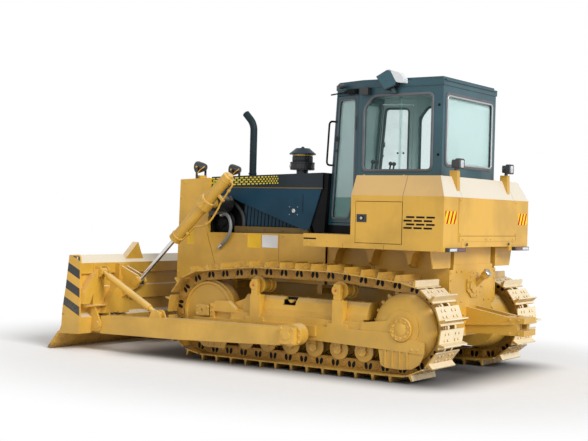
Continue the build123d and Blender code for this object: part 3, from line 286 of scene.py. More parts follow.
paint("cab_paint", (0.02, 0.074, 0.096), "cab_grey", 0.34, 0.1, 2.0, (0.1, 0.13, 0.13), 0.2, 0.4,
      marks=cab_lining)
paint("panel_paint", (0.004, 0.036, 0.066), "cab_grey", 0.34, shine=0.2)
paint("stack_paint", (0.008, 0.022, 0.027), "cab_grey", 0.55, shine=0.2)
paint("black_paint", (0.003, 0.003, 0.0035), "black_paint", 0.5, 0.04, dusty=(0.08, 0.07, 0.05), shine=0.12)
paint("frame_brown", (0.15, 0.092, 0.022), rough=0.5, dust=0.2, shine=0.3)


def tinted_glass(name, slot, tint, cloud, veil, rear=0.0, fore=0.0):
    """Clear tint mixed with a glossy face by Fresnel; cloud is how much of the pane's own pale veil shows.
    The rear pane and the doors' panes carry a pale veil, patchy by noise, that paints their brightness as a
    painted reflection, by the shares rear and fore."""
    shader, place = new_finish(name, slot)
    haze = noise(place, 3)
    x, y, z = axes(place)
    # Painted reflection: a pale veil on the rear pane and the doors' upper panes.
    painted_glare = (1 - x.ramp(-1.96, -1.9)) * rear + x.ramp(-0.99, -0.95) * z.ramp(1.75, 2.5) * fore
    own = haze.ramp(0.3, 0.7).mix(tuple(c * 0.85 for c in veil), veil)
    dress(shader, Base_Color=(painted_glare > 0.01).mix(own, (0.66, 0.8, 0.79)) if rear else own, Roughness=0.04,
          Specular_IOR_Level=0.6, Metallic=0)
    clear = place.node("ShaderNodeBsdfTransparent", {}, {"Color": (*tint, 1)})
    facing = place.node("ShaderNodeFresnel", {}, {"IOR": 1.45})
    share = facing * 0.8 + painted_glare * haze.ramp(0.1, 0.6) + cloud
    pane = place.node("ShaderNodeMixShader", {}, {0: share, 1: clear, 2: Signal(shader.outputs[0])})
    place.tree.links.new(pane.socket, place.tree.nodes["Material Output"].inputs["Surface"])


tinted_glass("window_glass", "window_glass", (0.95, 0.984, 0.982), 0.022, (0.3, 0.5, 0.48),
             rear=0.15, fore=0.12)
tinted_glass("lamp_glass", "lamp_housing", (0.93, 0.95, 0.96), 0.45, (0.85, 0.87, 0.88))


def grained(name, slot, tone, other, scale, rough, strength, distance, metallic=0.0, coat=0.0):
    """A moulded or cast face: two tones by noise and a pebbled or sandy bump at the given lumps a metre."""
    shader, place = new_finish(name, slot)
    grain = noise(place, scale, 4)
    dress(shader, Base_Color=noise(place, 4).ramp(0.35, 0.65).mix(tone, other),
          Roughness=rough + grain * 0.12, Metallic=metallic, Coat_Weight=coat,
          Normal=bump(grain, strength, distance))


grained("rubber", "black_plastic", (0.014, 0.014, 0.015), (0.024, 0.023, 0.022), 180, 0.55, 0.2, 0.001)
grained("black_plastic", "black_plastic", (0.02, 0.02, 0.022), (0.032, 0.032, 0.034), 400, 0.45, 0.3, 0.0008)
grained("seal_rubber", "black_plastic", (0.08, 0.085, 0.095), (0.105, 0.11, 0.12), 140, 0.5, 0.15, 0.0008)
grained("steel_grey", "black_plastic", (0.2, 0.215, 0.21), (0.15, 0.165, 0.16), 120, 0.42, 0.2, 0.001, 0.3)
grained("seat_vinyl", "seat_vinyl", (0.022, 0.022, 0.024), (0.034, 0.034, 0.036), 320, 0.42, 0.35, 0.0012,
        coat=0.1)
grained("engine_iron", "engine_iron", (0.04, 0.036, 0.03), (0.065, 0.052, 0.034), 90, 0.55, 0.4, 0.003, 0.1)
grained("pale_trim", "cab_grey", (0.5, 0.51, 0.5), (0.42, 0.43, 0.43), 160, 0.3, 0.1, 0.0005, 0.5)
grained("soot", "cab_grey", (0.006, 0.006, 0.006), (0.012, 0.011, 0.01), 60, 0.9, 0.2, 0.001)
grained("lamp_housing", "lamp_housing", (0.016, 0.016, 0.017), (0.024, 0.024, 0.026), 120, 0.3, 0.1, 0.0006,
        coat=0.3)
grained("lens_white", "lamp_housing", (0.62, 0.64, 0.65), (0.7, 0.72, 0.73), 90, 0.2, 0.05, 0.0005, coat=0.4)
grained("red_glass", "lamp_housing", (0.16, 0.01, 0.01), (0.12, 0.008, 0.008), 200, 0.12, 0.1, 0.001,
        coat=0.6)
grained("steel_bright", "chrome_rod", (0.55, 0.54, 0.52), (0.46, 0.45, 0.43), 150, 0.22, 0.12, 0.0006, 0.9)
grained("chrome_rod", "chrome_rod", (0.78, 0.78, 0.77), (0.7, 0.7, 0.69), 300, 0.1, 0.03, 0.0003, 1.0)
grained("gold_band", "black_paint", (0.62, 0.42, 0.08), (0.52, 0.34, 0.06), 120, 0.25, 0.1, 0.0005, 0.7)
grained("yellow_label", "body_yellow", (0.8, 0.48, 0.008), (0.72, 0.42, 0.008), 60, 0.4, 0.05, 0.0005)
grained("white_label", "body_yellow", (0.66, 0.67, 0.68), (0.58, 0.59, 0.6), 60, 0.4, 0.05, 0.0005)
grained("signal_red", "body_yellow", (0.62, 0.045, 0.01), (0.5, 0.035, 0.01), 90, 0.4, 0.1, 0.0005)

# %% [markdown]
# ## Painted marks
# The hood's band carries a row of yellow dashes that break up towards the rear, and the blade's
# ends are striped in black and yellow so that others see them swing. They are paint, so they
# are masks in the paint: stripes and bricks from the object's own coordinates.

# %% Dashes and stripes
def hood_dashes(place, colour):
    """Four rows of bricks, 25 mm apart. The count of bricks is -log(1 - 0.714 u) / 0.075 over the way u back
    from the front, so they shorten from 105 mm to 35 mm, and their filled share falls with it."""
    x, y, z = axes(place)
    rise = (z - 2.052 + (x - 0.7) * 0.033) / 0.0252
    row = rise.maths("FLOOR")
    way = 1.15 - x
    count = (1 - way * 0.714).maths("LOGARITHM", math.e) * (1 / 0.075)
    along = (count + row.maths("PINGPONG", 1.0) * 0.5 + 100).maths("FRACT")
    brick = (along < 0.82 - way * 0.36) * ((rise - row) > 0.36) * (rise > -2.0) * (rise < 2.0) * (x > 0.17)
    return (brick * (abs(y) > 0.54)).mix(colour, (0.66, 0.52, 0.03))


def end_stripes(place, colour):
    """Slanted bands of 107 mm on the blade's two end plates: the lane counts them up across their slope.
    What faces up is painted pale, as a painted highlight of the light from above."""
    x, y, z = axes(place)
    lane = (z - x * 0.457 + 0.056) / 0.214
    band = ((lane + 10).maths("FRACT") > 0.5) * (abs(y) > 1.6478) * (z > 0.42) * (z < 1.12)
    # Painted highlight: faces that look up are paled.
    colour = (faces_of(place)[2].ramp(0.55, 0.9) * 0.8).mix(colour, (0.8, 0.75, 0.62))
    return band.mix(colour, (0.02, 0.019, 0.018))


def rear_hatch(place, colour):
    """Red bars over bright yellow that lean outwards at the top."""
    x, y, z = axes(place)
    return (((y + z * 0.42) / 0.08 + 20).maths("FRACT") > 0.55).mix((0.78, 0.56, 0.015), (0.46, 0.006, 0.003))


def guard_ends(place, colour):
    """The drums and brackets that carry the lift cylinders are black; the nose ahead of them stays yellow."""
    x, y, z = axes(place)
    return ((x < 1.145) * (z > 1.6) * (abs(y) > 0.545)).mix(colour, (0.01, 0.01, 0.011))


def cleaner_hat(place, colour):
    """The precleaner's hat above the gold band is dark blue."""
    return (axes(place)[2] > 2.392).mix(colour, (0.006, 0.028, 0.05))


paint("hood_paint", (0.006, 0.014, 0.019), rough=0.32, shine=0.3, marks=hood_dashes)
paint("blade_paint", yellow, marks=end_stripes, **worn_coat)
paint("hatch_paint", (0.8, 0.6, 0.02), shine=0.1, marks=rear_hatch)
paint("guard_paint", yellow, dust_and_sheen=0.22, marks=guard_ends, **worn_coat)
paint("cleaner_paint", (0.02, 0.022, 0.024), "black_paint", 0.38, coat=0.1, shine=0.4, marks=cleaner_hat)
print("materials", len(bpy.data.materials))

# %% Dress the CAD nodes
by_slot = {"body_yellow": "machine_yellow", "cab_grey": "cab_paint"}
by_node = {"hood": "hood_paint", "blade": "blade_paint", "exhaust_stack": "stack_paint",
           "side_panels": "panel_paint", "radiator_guard": "guard_paint", "precleaner": "cleaner_paint"}
slots = {part["node"]: part["material_slot"] for part in frame["record"]["subparts"]}
for name, thing in frame["nodes"].items():
    finish = by_node.get(name, by_slot.get(slots[name], slots[name]))
    for slot in thing.material_slots:
        slot.material = finishes[finish]
print("dressed", len(slots), "nodes")

# %% [markdown]
# ## Shapes from arrays
# Every small part below is a surface over a grid of points: rings of points one after another.
# A turned part has circles for rings, a tube carries its circle along a path, a plate has just
# two rings, its outline and the same outline moved by the thickness. One function makes the
# faces of all of them, so the shapes themselves are only arithmetic on whole arrays.

# %% Grid surfaces
LEFT, UP, BACK = (0, 1, 0), (0, 0, 1), (-1, 0, 0)


def skin(grid, closed=False):
    """Points and faces of a grid (rings, points in a ring, 3): quads between neighbours, each ring
    closed on itself, and either a lid at both ends or, if closed, the last ring joined to the first."""
    rings, across = grid.shape[:2]
    i = np.arange(rings if closed else rings - 1)[:, None]
    j = np.arange(across)[None]
    here, there, on = i * across, (i + 1) % rings * across, (j + 1) % across
    faces = np.stack(np.broadcast_arrays(here + j, here + on, there + on, there + j),
                     -1).reshape(-1, 4).tolist()
    if not closed:
        faces += [list(range(across))[::-1], list(range((rings - 1) * across, rings * across))]
    return grid.reshape(-1, 3), faces


def circle(sides, first=0.0):
    """The cosines and sines of angles spaced evenly round a circle, each as a column."""
    t = first + np.arange(sides)[:, None] * 2 * np.pi / sides
    return np.cos(t), np.sin(t)


def turned(rows, centre, axis=LEFT, sides=24):
    """A turned body: for each row (d, r), a circle of radius r at distance d along the axis."""
    axis = unit(np.array(axis, float))
    first = unit(np.cross(axis, UP if abs(axis[2]) < 0.9 else (1, 0, 0)))
    d, r = np.array(rows, float).T[..., None, None]
    cos, sin = circle(sides)
    return skin(np.array(centre, float) + d * axis + r * (cos * first + sin * np.cross(axis, first)))


def through(points, steps=8):
    """A smooth line through points: between two of them, the cubic whose slope at each is half the
    step from its neighbour before to its neighbour after."""
    p = np.array(points, float)
    p = np.concatenate([2 * p[:1] - p[1:2], p, 2 * p[-1:] - p[-2:-1]])
    t = np.linspace(0, 1, steps, endpoint=False)[:, None]
    a, b, c, d = (p[k:len(p) - 3 + k, None] for k in range(4))
    curve = b + 0.5 * t * ((c - a) + t * ((2 * a - 5 * b + 4 * c - d) + t * (3 * (b - c) + d - a)))
    return np.concatenate([curve.reshape(-1, 3), p[-2:-1]])


def tube(points, radius, sides=10):
    """A round tube along a smooth line: at each of its points, a circle square to the way it runs."""
    line = through(points)
    run = unit(np.gradient(line, axis=0))
    first = unit(np.cross(run, np.eye(3)[np.argmin(np.abs(run).max(axis=0))]))
    cos, sin = circle(sides)
    return skin(line[:, None] + radius * (cos * first[:, None] + sin * np.cross(run, first)[:, None]))


def plate(outline, depth):
    """A flat plate: its outline of 3-D points, and the same outline moved by depth."""
    outline = np.array(outline, float)
    return skin(np.stack([outline, outline + np.array(depth, float)]))


def softened(outline, cut):
    """An outline whose corners are rounded: each corner becomes a curve that starts and ends at a
    distance cut along its two edges and is pulled towards the corner, (1-t)^2 a + 2t(1-t) c + t^2 b."""
    c = np.array(outline, float)
    a, b = (c + cut * unit(np.roll(c, way, 0) - c) for way in (1, -1))
    t = np.linspace(0, 1, 5)[:, None]
    return ((1 - t) ** 2 * a[:, None] + 2 * t * (1 - t) * c[:, None]
            + t ** 2 * b[:, None]).reshape(-1, c.shape[1])


def seal(loop, out, wide, proud):
    """A moulded strip round a closed line of points in a plane: its section is a low hump, wide
    across the line and proud along out, the way the plane faces."""
    loop, out = np.array(loop, float), unit(np.array(out, float))
    side = unit(np.cross(np.roll(loop, -1, 0) - np.roll(loop, 1, 0), out))
    hump = np.array([(-0.5, -0.1), (-0.5, 0.55), (-0.28, 1), (0.28, 1), (0.5, 0.55), (0.5, -0.1)])
    across, up = hump.T[..., None]
    return skin(loop[:, None] + across * wide * side[:, None] + up * proud * out, closed=True)


def bolts(centres, radius=0.013, head=0.01, axis=LEFT, washer=True):
    """Hexagon bolt heads, each a turned body with six sides and a chamfer, on a round washer."""
    shapes = [turned([(0, radius), (head * 0.8, radius), (head, radius * 0.84)], c, axis, 6) for c in centres]
    if washer:
        shapes += [turned([(-0.001, radius * 1.35), (head * 0.22, radius * 1.35)], c, axis, 14)
                   for c in centres]
    return shapes


def corners(u, v):
    """The four corners of a rectangle between (low, high) across and (low, high) up."""
    return [(u[0], v[0]), (u[1], v[0]), (u[1], v[1]), (u[0], v[1])]


def sidewise(outline, y):
    """Points given as (x, z), in the upright plane of this y."""
    x, z = np.array(outline, float).T
    return np.stack([x, 0 * x + y, z], -1)


def endwise(outline, x):
    """Points given as (y, z), at this x or at one x for each."""
    y, z = np.array(outline, float).T
    return np.stack([0 * y + x, y, z], -1)


def slab(x, y, z):
    """A plate between two corners, given as (low, high) along each axis."""
    return plate(sidewise(corners(x, z), y[0]), (0, y[1] - y[0], 0))


def flipped(shapes):
    """The same shapes on the machine's other side: y becomes -y."""
    return [(points * (1, -1, 1), faces) for points, faces in shapes]


def both(shapes):
    """Shapes on the left side, and again on the right."""
    return shapes + flipped(shapes)


print("shape helpers ready")

# %% [markdown]
# ## Turning shapes into pieces
# Several shapes with one finish that ride on one body become one object. Its faces are turned
# outwards with Blender's own routine, which also puts right what mirroring turned inside out.
# A small bevel catches a line of light on plates, as a real ground or pressed edge does.

# %% Making a piece
def piece(name, shapes, finish, body="tractor", slot=None, bevel=0.0, sharp=35, instead=()):
    """Joins shapes into one object, points its faces outwards, dresses it and lets it ride on its body.
    The slot argument is not used."""
    starts = np.cumsum([0] + [len(points) for points, _ in shapes])
    points = np.concatenate([points for points, _ in shapes])
    faces = [[v + int(start) for v in face] for start, (_, some) in zip(starts, shapes) for face in some]
    mesh = bpy.data.meshes.new(name)
    mesh.from_pydata(points.tolist(), [], faces)
    work = bmesh.new()
    work.from_mesh(mesh)
    bmesh.ops.recalc_face_normals(work, faces=work.faces)
    work.to_mesh(mesh)
    work.free()
    mesh.shade_smooth()
    mesh.set_sharp_from_angle(angle=math.radians(sharp))
    mesh.materials.append(finishes[finish])
    made = put(name, mesh)
    if bevel:
        edge = made.modifiers.new("edge", "BEVEL")
        edge.width, edge.segments, edge.limit_method, edge.angle_limit = bevel, 2, "ANGLE", math.radians(40)
    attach(made, body)
    if instead:
        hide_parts(*instead)
    print(name, len(points), "points on", body)
    return made


# %% [markdown]
# ## The chain's line
# The chain runs along the ground, round the idler, over two small rollers and round the sprocket.
# Its 38 pins are 203.2 mm apart. To find them the line is laid out as points close together, and
# each next pin is searched for along it at one pitch from the last.

# %% Where the pins are
pitch, shoe_count, pin_height, track_middle, links_a_turn = 0.2032, 38, 0.134, 0.94, 12.5
idler, idler_radius = np.array((0.7659, 0.54)), 0.406
sprocket_radius = pitch / (2 * math.sin(math.pi / links_a_turn))
sprocket = np.array((-1.825, pin_height + sprocket_radius))
carrier_xs, carrier_z = (-1.027, 0.051), 1.021
rear_roller, front_roller = (np.array((x, carrier_z)) for x in carrier_xs)


def touch_angle(outside, centre, radius, turn):
    """The angle at which a line from an outside point touches a circle."""
    away = outside - centre
    return math.atan2(away[1], away[0]) + turn * math.acos(radius / np.hypot(*away))


def arc(centre, radius, first, last):
    """400 points on a circle between two angles."""
    t = np.linspace(first, last, 400)
    return centre + radius * np.stack([np.cos(t), np.sin(t)], 1)


upper = touch_angle(front_roller, idler, idler_radius, -1)
lower = touch_angle(rear_roller, sprocket, sprocket_radius, 1)
chain_line = np.concatenate([[(sprocket[0], pin_height)], arc(idler, idler_radius, -math.pi / 2, upper),
                             [front_roller, rear_roller],
                             arc(sprocket, sprocket_radius, lower, 1.5 * math.pi)])
chain_reach = np.concatenate([[0], np.cumsum(np.hypot(*np.diff(chain_line, axis=0).T))])


def on_chain(s):
    """The point (x, z) at a distance along the chain's line."""
    return np.array([np.interp(s % chain_reach[-1], chain_reach, chain_line[:, k]) for k in (0, 1)])


def chain_pins(s):
    """38 pins, the first at s. Each next one is found by halving the interval in which its distance from
    the last passes one pitch."""
    pins = []
    for _ in range(shoe_count):
        pins.append(on_chain(s))
        near, far = s + 0.9 * pitch, s + 1.2 * pitch
        for _ in range(30):
            middle = (near + far) / 2
            short = np.hypot(*(on_chain(middle) - pins[-1])) < pitch
            near, far = (middle, far) if short else (near, middle)
        s = near
    return np.array(pins)


pins = {1: chain_pins(0.1372), -1: chain_pins(0.2372)}
print("chain length", round(float(chain_reach[-1]), 3), "m")


def link_points(side, a, b, out):
    """Points on every link: a along it from its pin, b outwards from the chain's line, out from the
    track's middle. Also the way up from each link."""
    first = pins[side][:, None]
    run = unit(np.roll(first, -1, 0) - first)
    up = np.stack([run[..., 1], -run[..., 0]], -1)
    flat = first + np.atleast_1d(a)[:, None] * run + np.atleast_1d(b)[:, None] * up
    return sidewise(flat.reshape(-1, 2), side * track_middle + out).reshape(*flat.shape[:2], 3), up[:, 0]


# %% [markdown]
# ## Links and pins
# Seen from the side a chain is a row of forged links. Each has a round boss about its pin, and two
# windows through which its bolts are tightened. They stand a few millimetres proud of the rails,
# and dark plates of painted shade fill their windows. Eight points draw a link's outline, and the whole row
# is one array.

# %% Links
link_a = [0.03, 0.168, 0.176, 0.172, 0.16, 0.03, 0.022, 0.026]
link_b = [-0.047, -0.047, -0.03, 0.02, 0.052, 0.056, 0.034, -0.034]
boss = [(0, 0.043), (0.01, 0.043), (0.013, 0.04), (0.013, 0.022), (0.01, 0.021), (0.016, 0.019),
        (0.017, 0.012)]


def links(side, face):
    """The raised link plates on one face of a track's rails: +1 is the outer face and -1 the inner."""
    base = 0.0935 * face
    shapes = [plate(row, (0, 0.006 * face, 0)) for row in link_points(side, link_a, link_b, base)[0]]
    return shapes + [turned(boss, row[0], (0, face, 0), 16) for row in link_points(side, 0, 0, base)[0]]


def windows(side, face):
    """Two oval windows in every link, each filled by a dark plate of painted shade."""
    cos, sin = (part[:, 0] for part in circle(10))
    return [plate(row, (0, 0.008 * face, 0)) for middle, lean in ((0.072, 0.006), (0.124, -0.004))
            for row in link_points(side, middle + 0.02 * cos + lean * sin, 0.014 + 0.036 * sin,
                                   0.093 * face)[0]]


for side, word in ((1, "left"), (-1, "right")):
    piece("chain_links_" + word, links(side, side) + links(side, -side), "track_steel")
    # Painted shade: dark plates fill the links' windows.
    piece("chain_window_shade_" + word, windows(side, side) + windows(side, -side), "black_paint",
          slot="track_steel")
    heads = []
    for a in (0.048, 0.112):
        for out in (-0.15, -0.075, 0.075, 0.15):
            at, up = link_points(side, a, 0.0715, out)
            heads += [turned([(0, 0.015), (0.009, 0.015), (0.011, 0.012)], c[0], (u[0], 0, u[1]), 6)
                      for c, u in zip(at, up)]
    piece("shoe_bolts_" + word, heads, "track_steel")

# %% [markdown]
# ## Bolts of the running gear
# Covers and bearing caps on the track frames are held by rings and rows of hexagon bolts. A ring
# is a circle of centres, a row is typed out. Each bolt is a six-sided turned body on a washer.

# %% Frame bolts
hub = np.array((sprocket[0], 1.164, sprocket[1]))
roller_xs, cap_z = (-1.335, -1.026, -0.717, -0.408, -0.099, 0.21), 0.888
cos, sin = circle(10, 0.3)
left_side = bolts(hub + 0.092 * np.hstack([cos, 0 * cos, sin]), 0.013, 0.012)
left_side += [turned([(-0.006, 0.122), (0.004, 0.122), (0.008, 0.118), (0.008, 0.112), (0.001, 0.11)], hub,
                     sides=48),
              turned([(0, 0.066), (0.006, 0.066), (0.01, 0.06)], hub)]
left_side += bolts([(x, 1.15, z) for x in (0.676, 0.832) for z in (0.522, 0.604)], 0.013, 0.012)
left_side += bolts([(x, 1.138, z) for x in (0.618, 0.64) for z in (0.51, 0.56, 0.615)], 0.01, 0.008)
for x in carrier_xs:
    left_side += bolts([(x + dx, 1.09, 0.546) for dx in (-0.125, 0.07)], axis=UP)
    left_side += bolts([(x + dx, 1.115, 0.786) for dx in (-0.075, 0.018)], 0.011, axis=UP)
    left_side += bolts([(x, 1.138, cap_z)], 0.016, 0.006)
left_side += bolts([(x + dx, 1.09, 0.268) for x in roller_xs for dx in (-0.022, 0.022)], 0.009, 0.007)
left_side += bolts([(x, 1.15, 0.345) for x in (-2.02, -1.95)], 0.012)
piece("frame_bolts", both(left_side), "machine_yellow")
cap = bolts([(-0.65 + dx, 1.49, 0.41 + dz) for dx in (-0.078, 0.066) for dz in (-0.07, 0.07)], 0.014, 0.012)
piece("arm_bolts", both(cap), "machine_yellow", body="blade_frame")
print("running gear bolted")

# %% [markdown]
# ## The cab's doors
# A door here is a narrow leaf in the angled wall, with glass almost down to its foot. The packed
# leaf is one solid, so a single finish would paint its pane. It is made again from the same
# sizes: a frame that is a ring between two outlines with rounded corners, a thin tinted pane and
# a rubber seal. The pane's lower rear corner is cut off, as the side box would hide it anyway.

# %% Door outlines
outward = np.array((math.sin(wall_turn), math.cos(wall_turn), 0))


def front_x(z):
    """How far forward the cab's front stands at a height: it leans back by 0.101 for each 1.5 of height."""
    return -0.472 - 0.101 * (z - 1.57) / 1.5


def on_wall(outline, out):
    """Points given as (along, z) in the angled left wall: along runs forward from the wall's rear corner."""
    along, z = np.array(outline, float).T
    return np.stack([kink_x + along * math.cos(wall_turn) + out * math.sin(wall_turn),
                     cab_y - along * math.sin(wall_turn) + out * math.cos(wall_turn), z], -1)


def leaf(rear, back, low, high, heel):
    """A door-shaped outline: upright at its rear, leaning with the cab at its front, a distance back from
    the front corner; heel is how far its lower rear corner is cut off, along and up."""
    front = [(front_x(z) - kink_x) / math.cos(wall_turn) - back for z in (low, high)]
    return [(rear + heel[0], low), (front[0], low), (front[1], high), (rear, high), (rear, low + heel[1])]


def wall_plate(outline, near, far):
    """A plate on the angled wall, between two distances out from it."""
    start = on_wall(outline, near)
    return plate(start, on_wall(outline, far)[0] - start[0])


each_side = (("left", list), ("right", flipped))


def pair(name, shapes, finish, body="", **more):
    """A piece on the left and its mirror image on the right, each on its own side's body."""
    for word, turn in each_side:
        piece(f"{name}_{word}", turn(shapes), finish, f"{body}_{word}" if body else "tractor", **more)


leaf_inner = -0.05
leaf_edge = softened(leaf(0.055, 0.028, 1.601, 3.004, (0.001, 0.06)), 0.012)
pane_edge = softened(leaf(0.099, 0.06, 1.645, 2.96, (0.085, 0.215)), 0.05)
pane_lap = softened(leaf(0.095, 0.056, 1.641, 2.964, (0.085, 0.215)), 0.05)
loops = ((leaf_edge, leaf_inner), (pane_edge, leaf_inner), (pane_edge, 0), (leaf_edge, 0))
door_ring = [skin(np.stack([on_wall(*loop) for loop in loops]), closed=True)]
pane = [wall_plate(pane_lap, -0.022, -0.028)]
rubbers = [seal(on_wall(pane_edge, 0), outward, 0.022, 0.008),
           seal(on_wall(pane_edge, leaf_inner), -outward, 0.022, 0.006)]
latch = [wall_plate(corners(along, z), near, far) for along, z, near, far in (
    ((0.385, 0.437), (2.505, 2.565), 0.001, 0.01), ((0.398, 0.43), (2.515, 2.555), 0.01, 0.03),
    ((0.4, 0.437), (2.39, 2.416), 0.001, 0.018), ((0.074, 0.096), (2.62, 2.77), 0.001, 0.007),
    ((0.074, 0.096), (1.8, 1.93), 0.001, 0.007))]
for word, turn in each_side:
    door = "door_" + word
    piece("door_frame_" + word, turn(door_ring), "cab_paint", door, bevel=0.003,
          instead=("cab_door_" + word,))
    piece("door_glass_" + word, turn(pane), "window_glass", door)
    piece("door_seal_" + word, turn(rubbers), "seal_rubber", door)
    piece("door_latch_" + word, turn(latch), "black_plastic", door, bevel=0.003)

# %% [markdown]
# ## Window seals and trim
# Fixed panes sit in a rubber strip whose section is a low hump. A strip is its section carried
# round the window's outline, and the outline is the opening's own with its corners rounded.
# The rear window also has a pale metal trim, and a thin bar splits each side window in two.

# %% Seals
def rounded(u, v, cut):
    """A rectangle between (low, high) across and (low, high) up, with rounded corners."""
    return softened(corners(u, v), cut)


window_low, window_high, pane_y = 2.175, 2.985, 0.616
side_edge = [(-1.85, window_low), (-1.015, window_low), (-1.015, window_high - 0.135), (-1.125, window_high),
             (-1.85, window_high)]
front_edge = rounded((-0.4, 0.4), (window_low, window_high), 0.058)
seals = both([seal(sidewise(softened(side_edge, 0.058), 0.6395), LEFT, 0.03, 0.012)])
seals += [seal(endwise(rounded((-0.565, 0.565), (2.23, window_high), 0.058), -1.9695), BACK, 0.032, 0.01),
          seal(endwise(front_edge, front_x(front_edge[:, 1]) - 0.0005), (1, 0, 0.067), 0.034, 0.012)]
piece("window_seals", seals, "seal_rubber")
trim = endwise(rounded((-0.545, 0.545), (2.25, window_high - 0.02), 0.045), -1.971)
piece("rear_trim", [seal(trim, BACK, 0.018, 0.011)], "pale_trim")
bars = [slab(x, (pane_y, y), (window_low, window_high))
        for x, y in (((-1.475, -1.461), 0.628), ((-1.461, -1.442), 0.62))]
knob = [(0, 0.006), (0.006, 0.006), (0.008, 0.011), (0.014, 0.011), (0.016, 0.007)]
piece("window_bars", both(bars), "window_glass")
piece("window_knobs", both([turned(knob, (x, pane_y, 2.36), sides=14) for x in (-1.505, -1.435)]),
      "black_plastic")
piece("pillar_bolts", both(bolts([(-1.925, cab_y, z) for z in (2.86, 2.34)], 0.011, 0.008)), "black_paint")

# %% [markdown]
# ## On and under the roof
# A mirror's arm, a small round lamp and a folded bracket hang about the roof's front corner. The
# squared working lamp has a painted cover with one bolt, and its glass faces the rear, tipped up.

# %% Roof details
mirror = [tube(on_wall([(0.5, 3.027), (0.42, 3.031), (0.3, 3.036), (0.2, 3.04)], 0.035), 0.008),
          wall_plate(corners((0.06, 0.2), (3.014, 3.066)), 0.001, 0.055),
          wall_plate(corners((0.16, 0.26), (3.02, 3.055)), 0.01, 0.04)]
piece("mirror_arm", mirror, "black_paint", bevel=0.003)
marker = [(0, 0.014), (0.03, 0.014), (0.032, 0.026), (0.07, 0.03), (0.085, 0.027), (0.09, 0.015)]
piece("marker_lamp", [turned(marker, on_wall([(0.29, 3.104)], 0.006)[0], outward, 20)], "lamp_housing")
tip, foot = np.array((-1.346, 3.2385)), np.array((-1.4785, 3.1855))
lean = unit(np.array((foot[1] - tip[1], tip[0] - foot[0])))


def lens_plate(share, y, out):
    """A plate on the roof lamp's slanted face: between shares of the way down it, across y and outward."""
    (x0, z0), (x1, z1) = (tip + s * (foot - tip) + out[0] * lean for s in share)
    dx, dz = (out[1] - out[0]) * lean
    return plate([(x0, y[0], z0), (x0, y[1], z0), (x1, y[1], z1), (x1, y[0], z1)], (dx, 0, dz))


cover = [(-1.218, 3.17), (-1.346, 3.233), (-1.388, 3.226), (-1.46, 3.105), (-1.444, 3.076), (-1.32, 3.034)]
cover = [plate(sidewise(softened(cover, 0.01), 0.7442), (0, 0.003, 0))]
cover += bolts([(-1.345, 0.747, 3.13)], 0.008, 0.006)
piece("roof_lamp_cover", cover, "cab_paint", bevel=0.001)
piece("roof_lamp_rim", [lens_plate((0.02, 0.98), (0.656, 0.742), (0.0005, 0.007))], "pale_trim",
      slot="lamp_housing", bevel=0.002)
piece("roof_lamp_glass", [lens_plate((0.08, 0.92), (0.664, 0.734), (0.007, 0.013))], "lamp_glass",
      bevel=0.002)
shell = softened([(-1.386, 3.232), (-1.492, 3.208), (-1.55, 3.145), (-1.552, 3.092), (-1.462, 3.105)], 0.014)
shell = [plate(sidewise(shell, 0.6535), (0, 0.0935, 0))]
shell += bolts([(-1.445, 0.747, 3.205), (-1.47, 0.747, 3.165)], 0.006, 0.004, washer=False)
piece("roof_lamp_housing", shell, "lens_white", bevel=0.006)
arm = [(-1.44, 2.998), (-1.4, 2.998), (-1.376, 3.04), (-1.416, 3.04)]
arm = [plate(sidewise(arm, 0.7005), (0, 0.003, 0))]
piece("roof_lamp_arm", arm + bolts([(-1.41, 0.7035, 3.018)], 0.007, 0.005), "cab_paint")

# %% [markdown]
# ## Lamp glasses
# A lamp's glass is a shallow dome in a bright rim. It is a turned body for the round lamps;
# for the squared ones a softened square is drawn in and pushed out ring by ring.

# %% Lenses
def domed(y, z, rows):
    """A squared lens about (y, z): for each row (inset, x) the softened square drawn in by inset, at x."""
    loops = []
    for inset, x in rows:
        half_y, half_z = 0.034 - inset, 0.04 - inset
        edge = rounded((y - half_y, y + half_y), (z - half_z, z + half_z), max(0.014 - inset * 0.5, 0.004))
        loops.append(endwise(edge, x))
    return skin(np.stack(loops))


lens_rows = [(0, -2.2163), (0.001, -2.2213), (0.012, -2.2253), (0.03, -2.2283), (0.045, -2.2293)]
rear_ys, rear_z, front_ys, front_z = (0.68, -0.555), 2.242, (0.345, -0.345), 2.23
piece("rear_lamp_glass", [domed(y - 0.018, rear_z, lens_rows) for y in rear_ys], "lamp_glass")
rims = [rounded((y - 0.06, y + 0.06), (rear_z - 0.048, rear_z + 0.048), 0.018) for y in rear_ys]
piece("rear_lamp_rims", [seal(endwise(rim, -2.216), BACK, 0.01, 0.006) for rim in rims], "black_plastic",
      slot="lamp_housing")
dome = [(0, 0.066), (0.004, 0.066), (0.009, 0.054), (0.013, 0.034), (0.015, 0.008)]
piece("front_lamp_glass", [turned(dome, (1.5435, y, front_z), (1, 0, 0), 28) for y in front_ys], "lamp_glass")
spring = [(1.415, 0.03, 2.235), (1.395, 0.055, 2.23), (1.405, 0.075, 2.215), (1.44, 0.082, 2.19),
          (1.47, 0.09, 2.15)]
fittings = []
for y in front_ys:
    fittings += [turned([(0, 0.013), (0.01, 0.013), (0.012, 0.01)], (1.485, y + out * 0.088, front_z),
                        (0, out, 0), 6) for out in (1, -1)]
    fittings += [tube([(x, y + dy, z) for x, dy, z in spring], 0.006),
                 slab((1.44, 1.52), (y - 0.062, y + 0.062), (2.085, 2.128))]
piece("front_lamp_fittings", fittings, "machine_yellow", bevel=0.002)
# The white half of each tail lamp is a painted highlight on the dark lens.
for word, y, finish in (("red", (0.64, 0.8), "red_glass"), ("white", (0.82, 0.98), "lamp_glass")):
    piece("tail_lamp_" + word, both([slab((-2.266, -2.2625), y, (1.346, 1.374))]), finish, bevel=0.002)

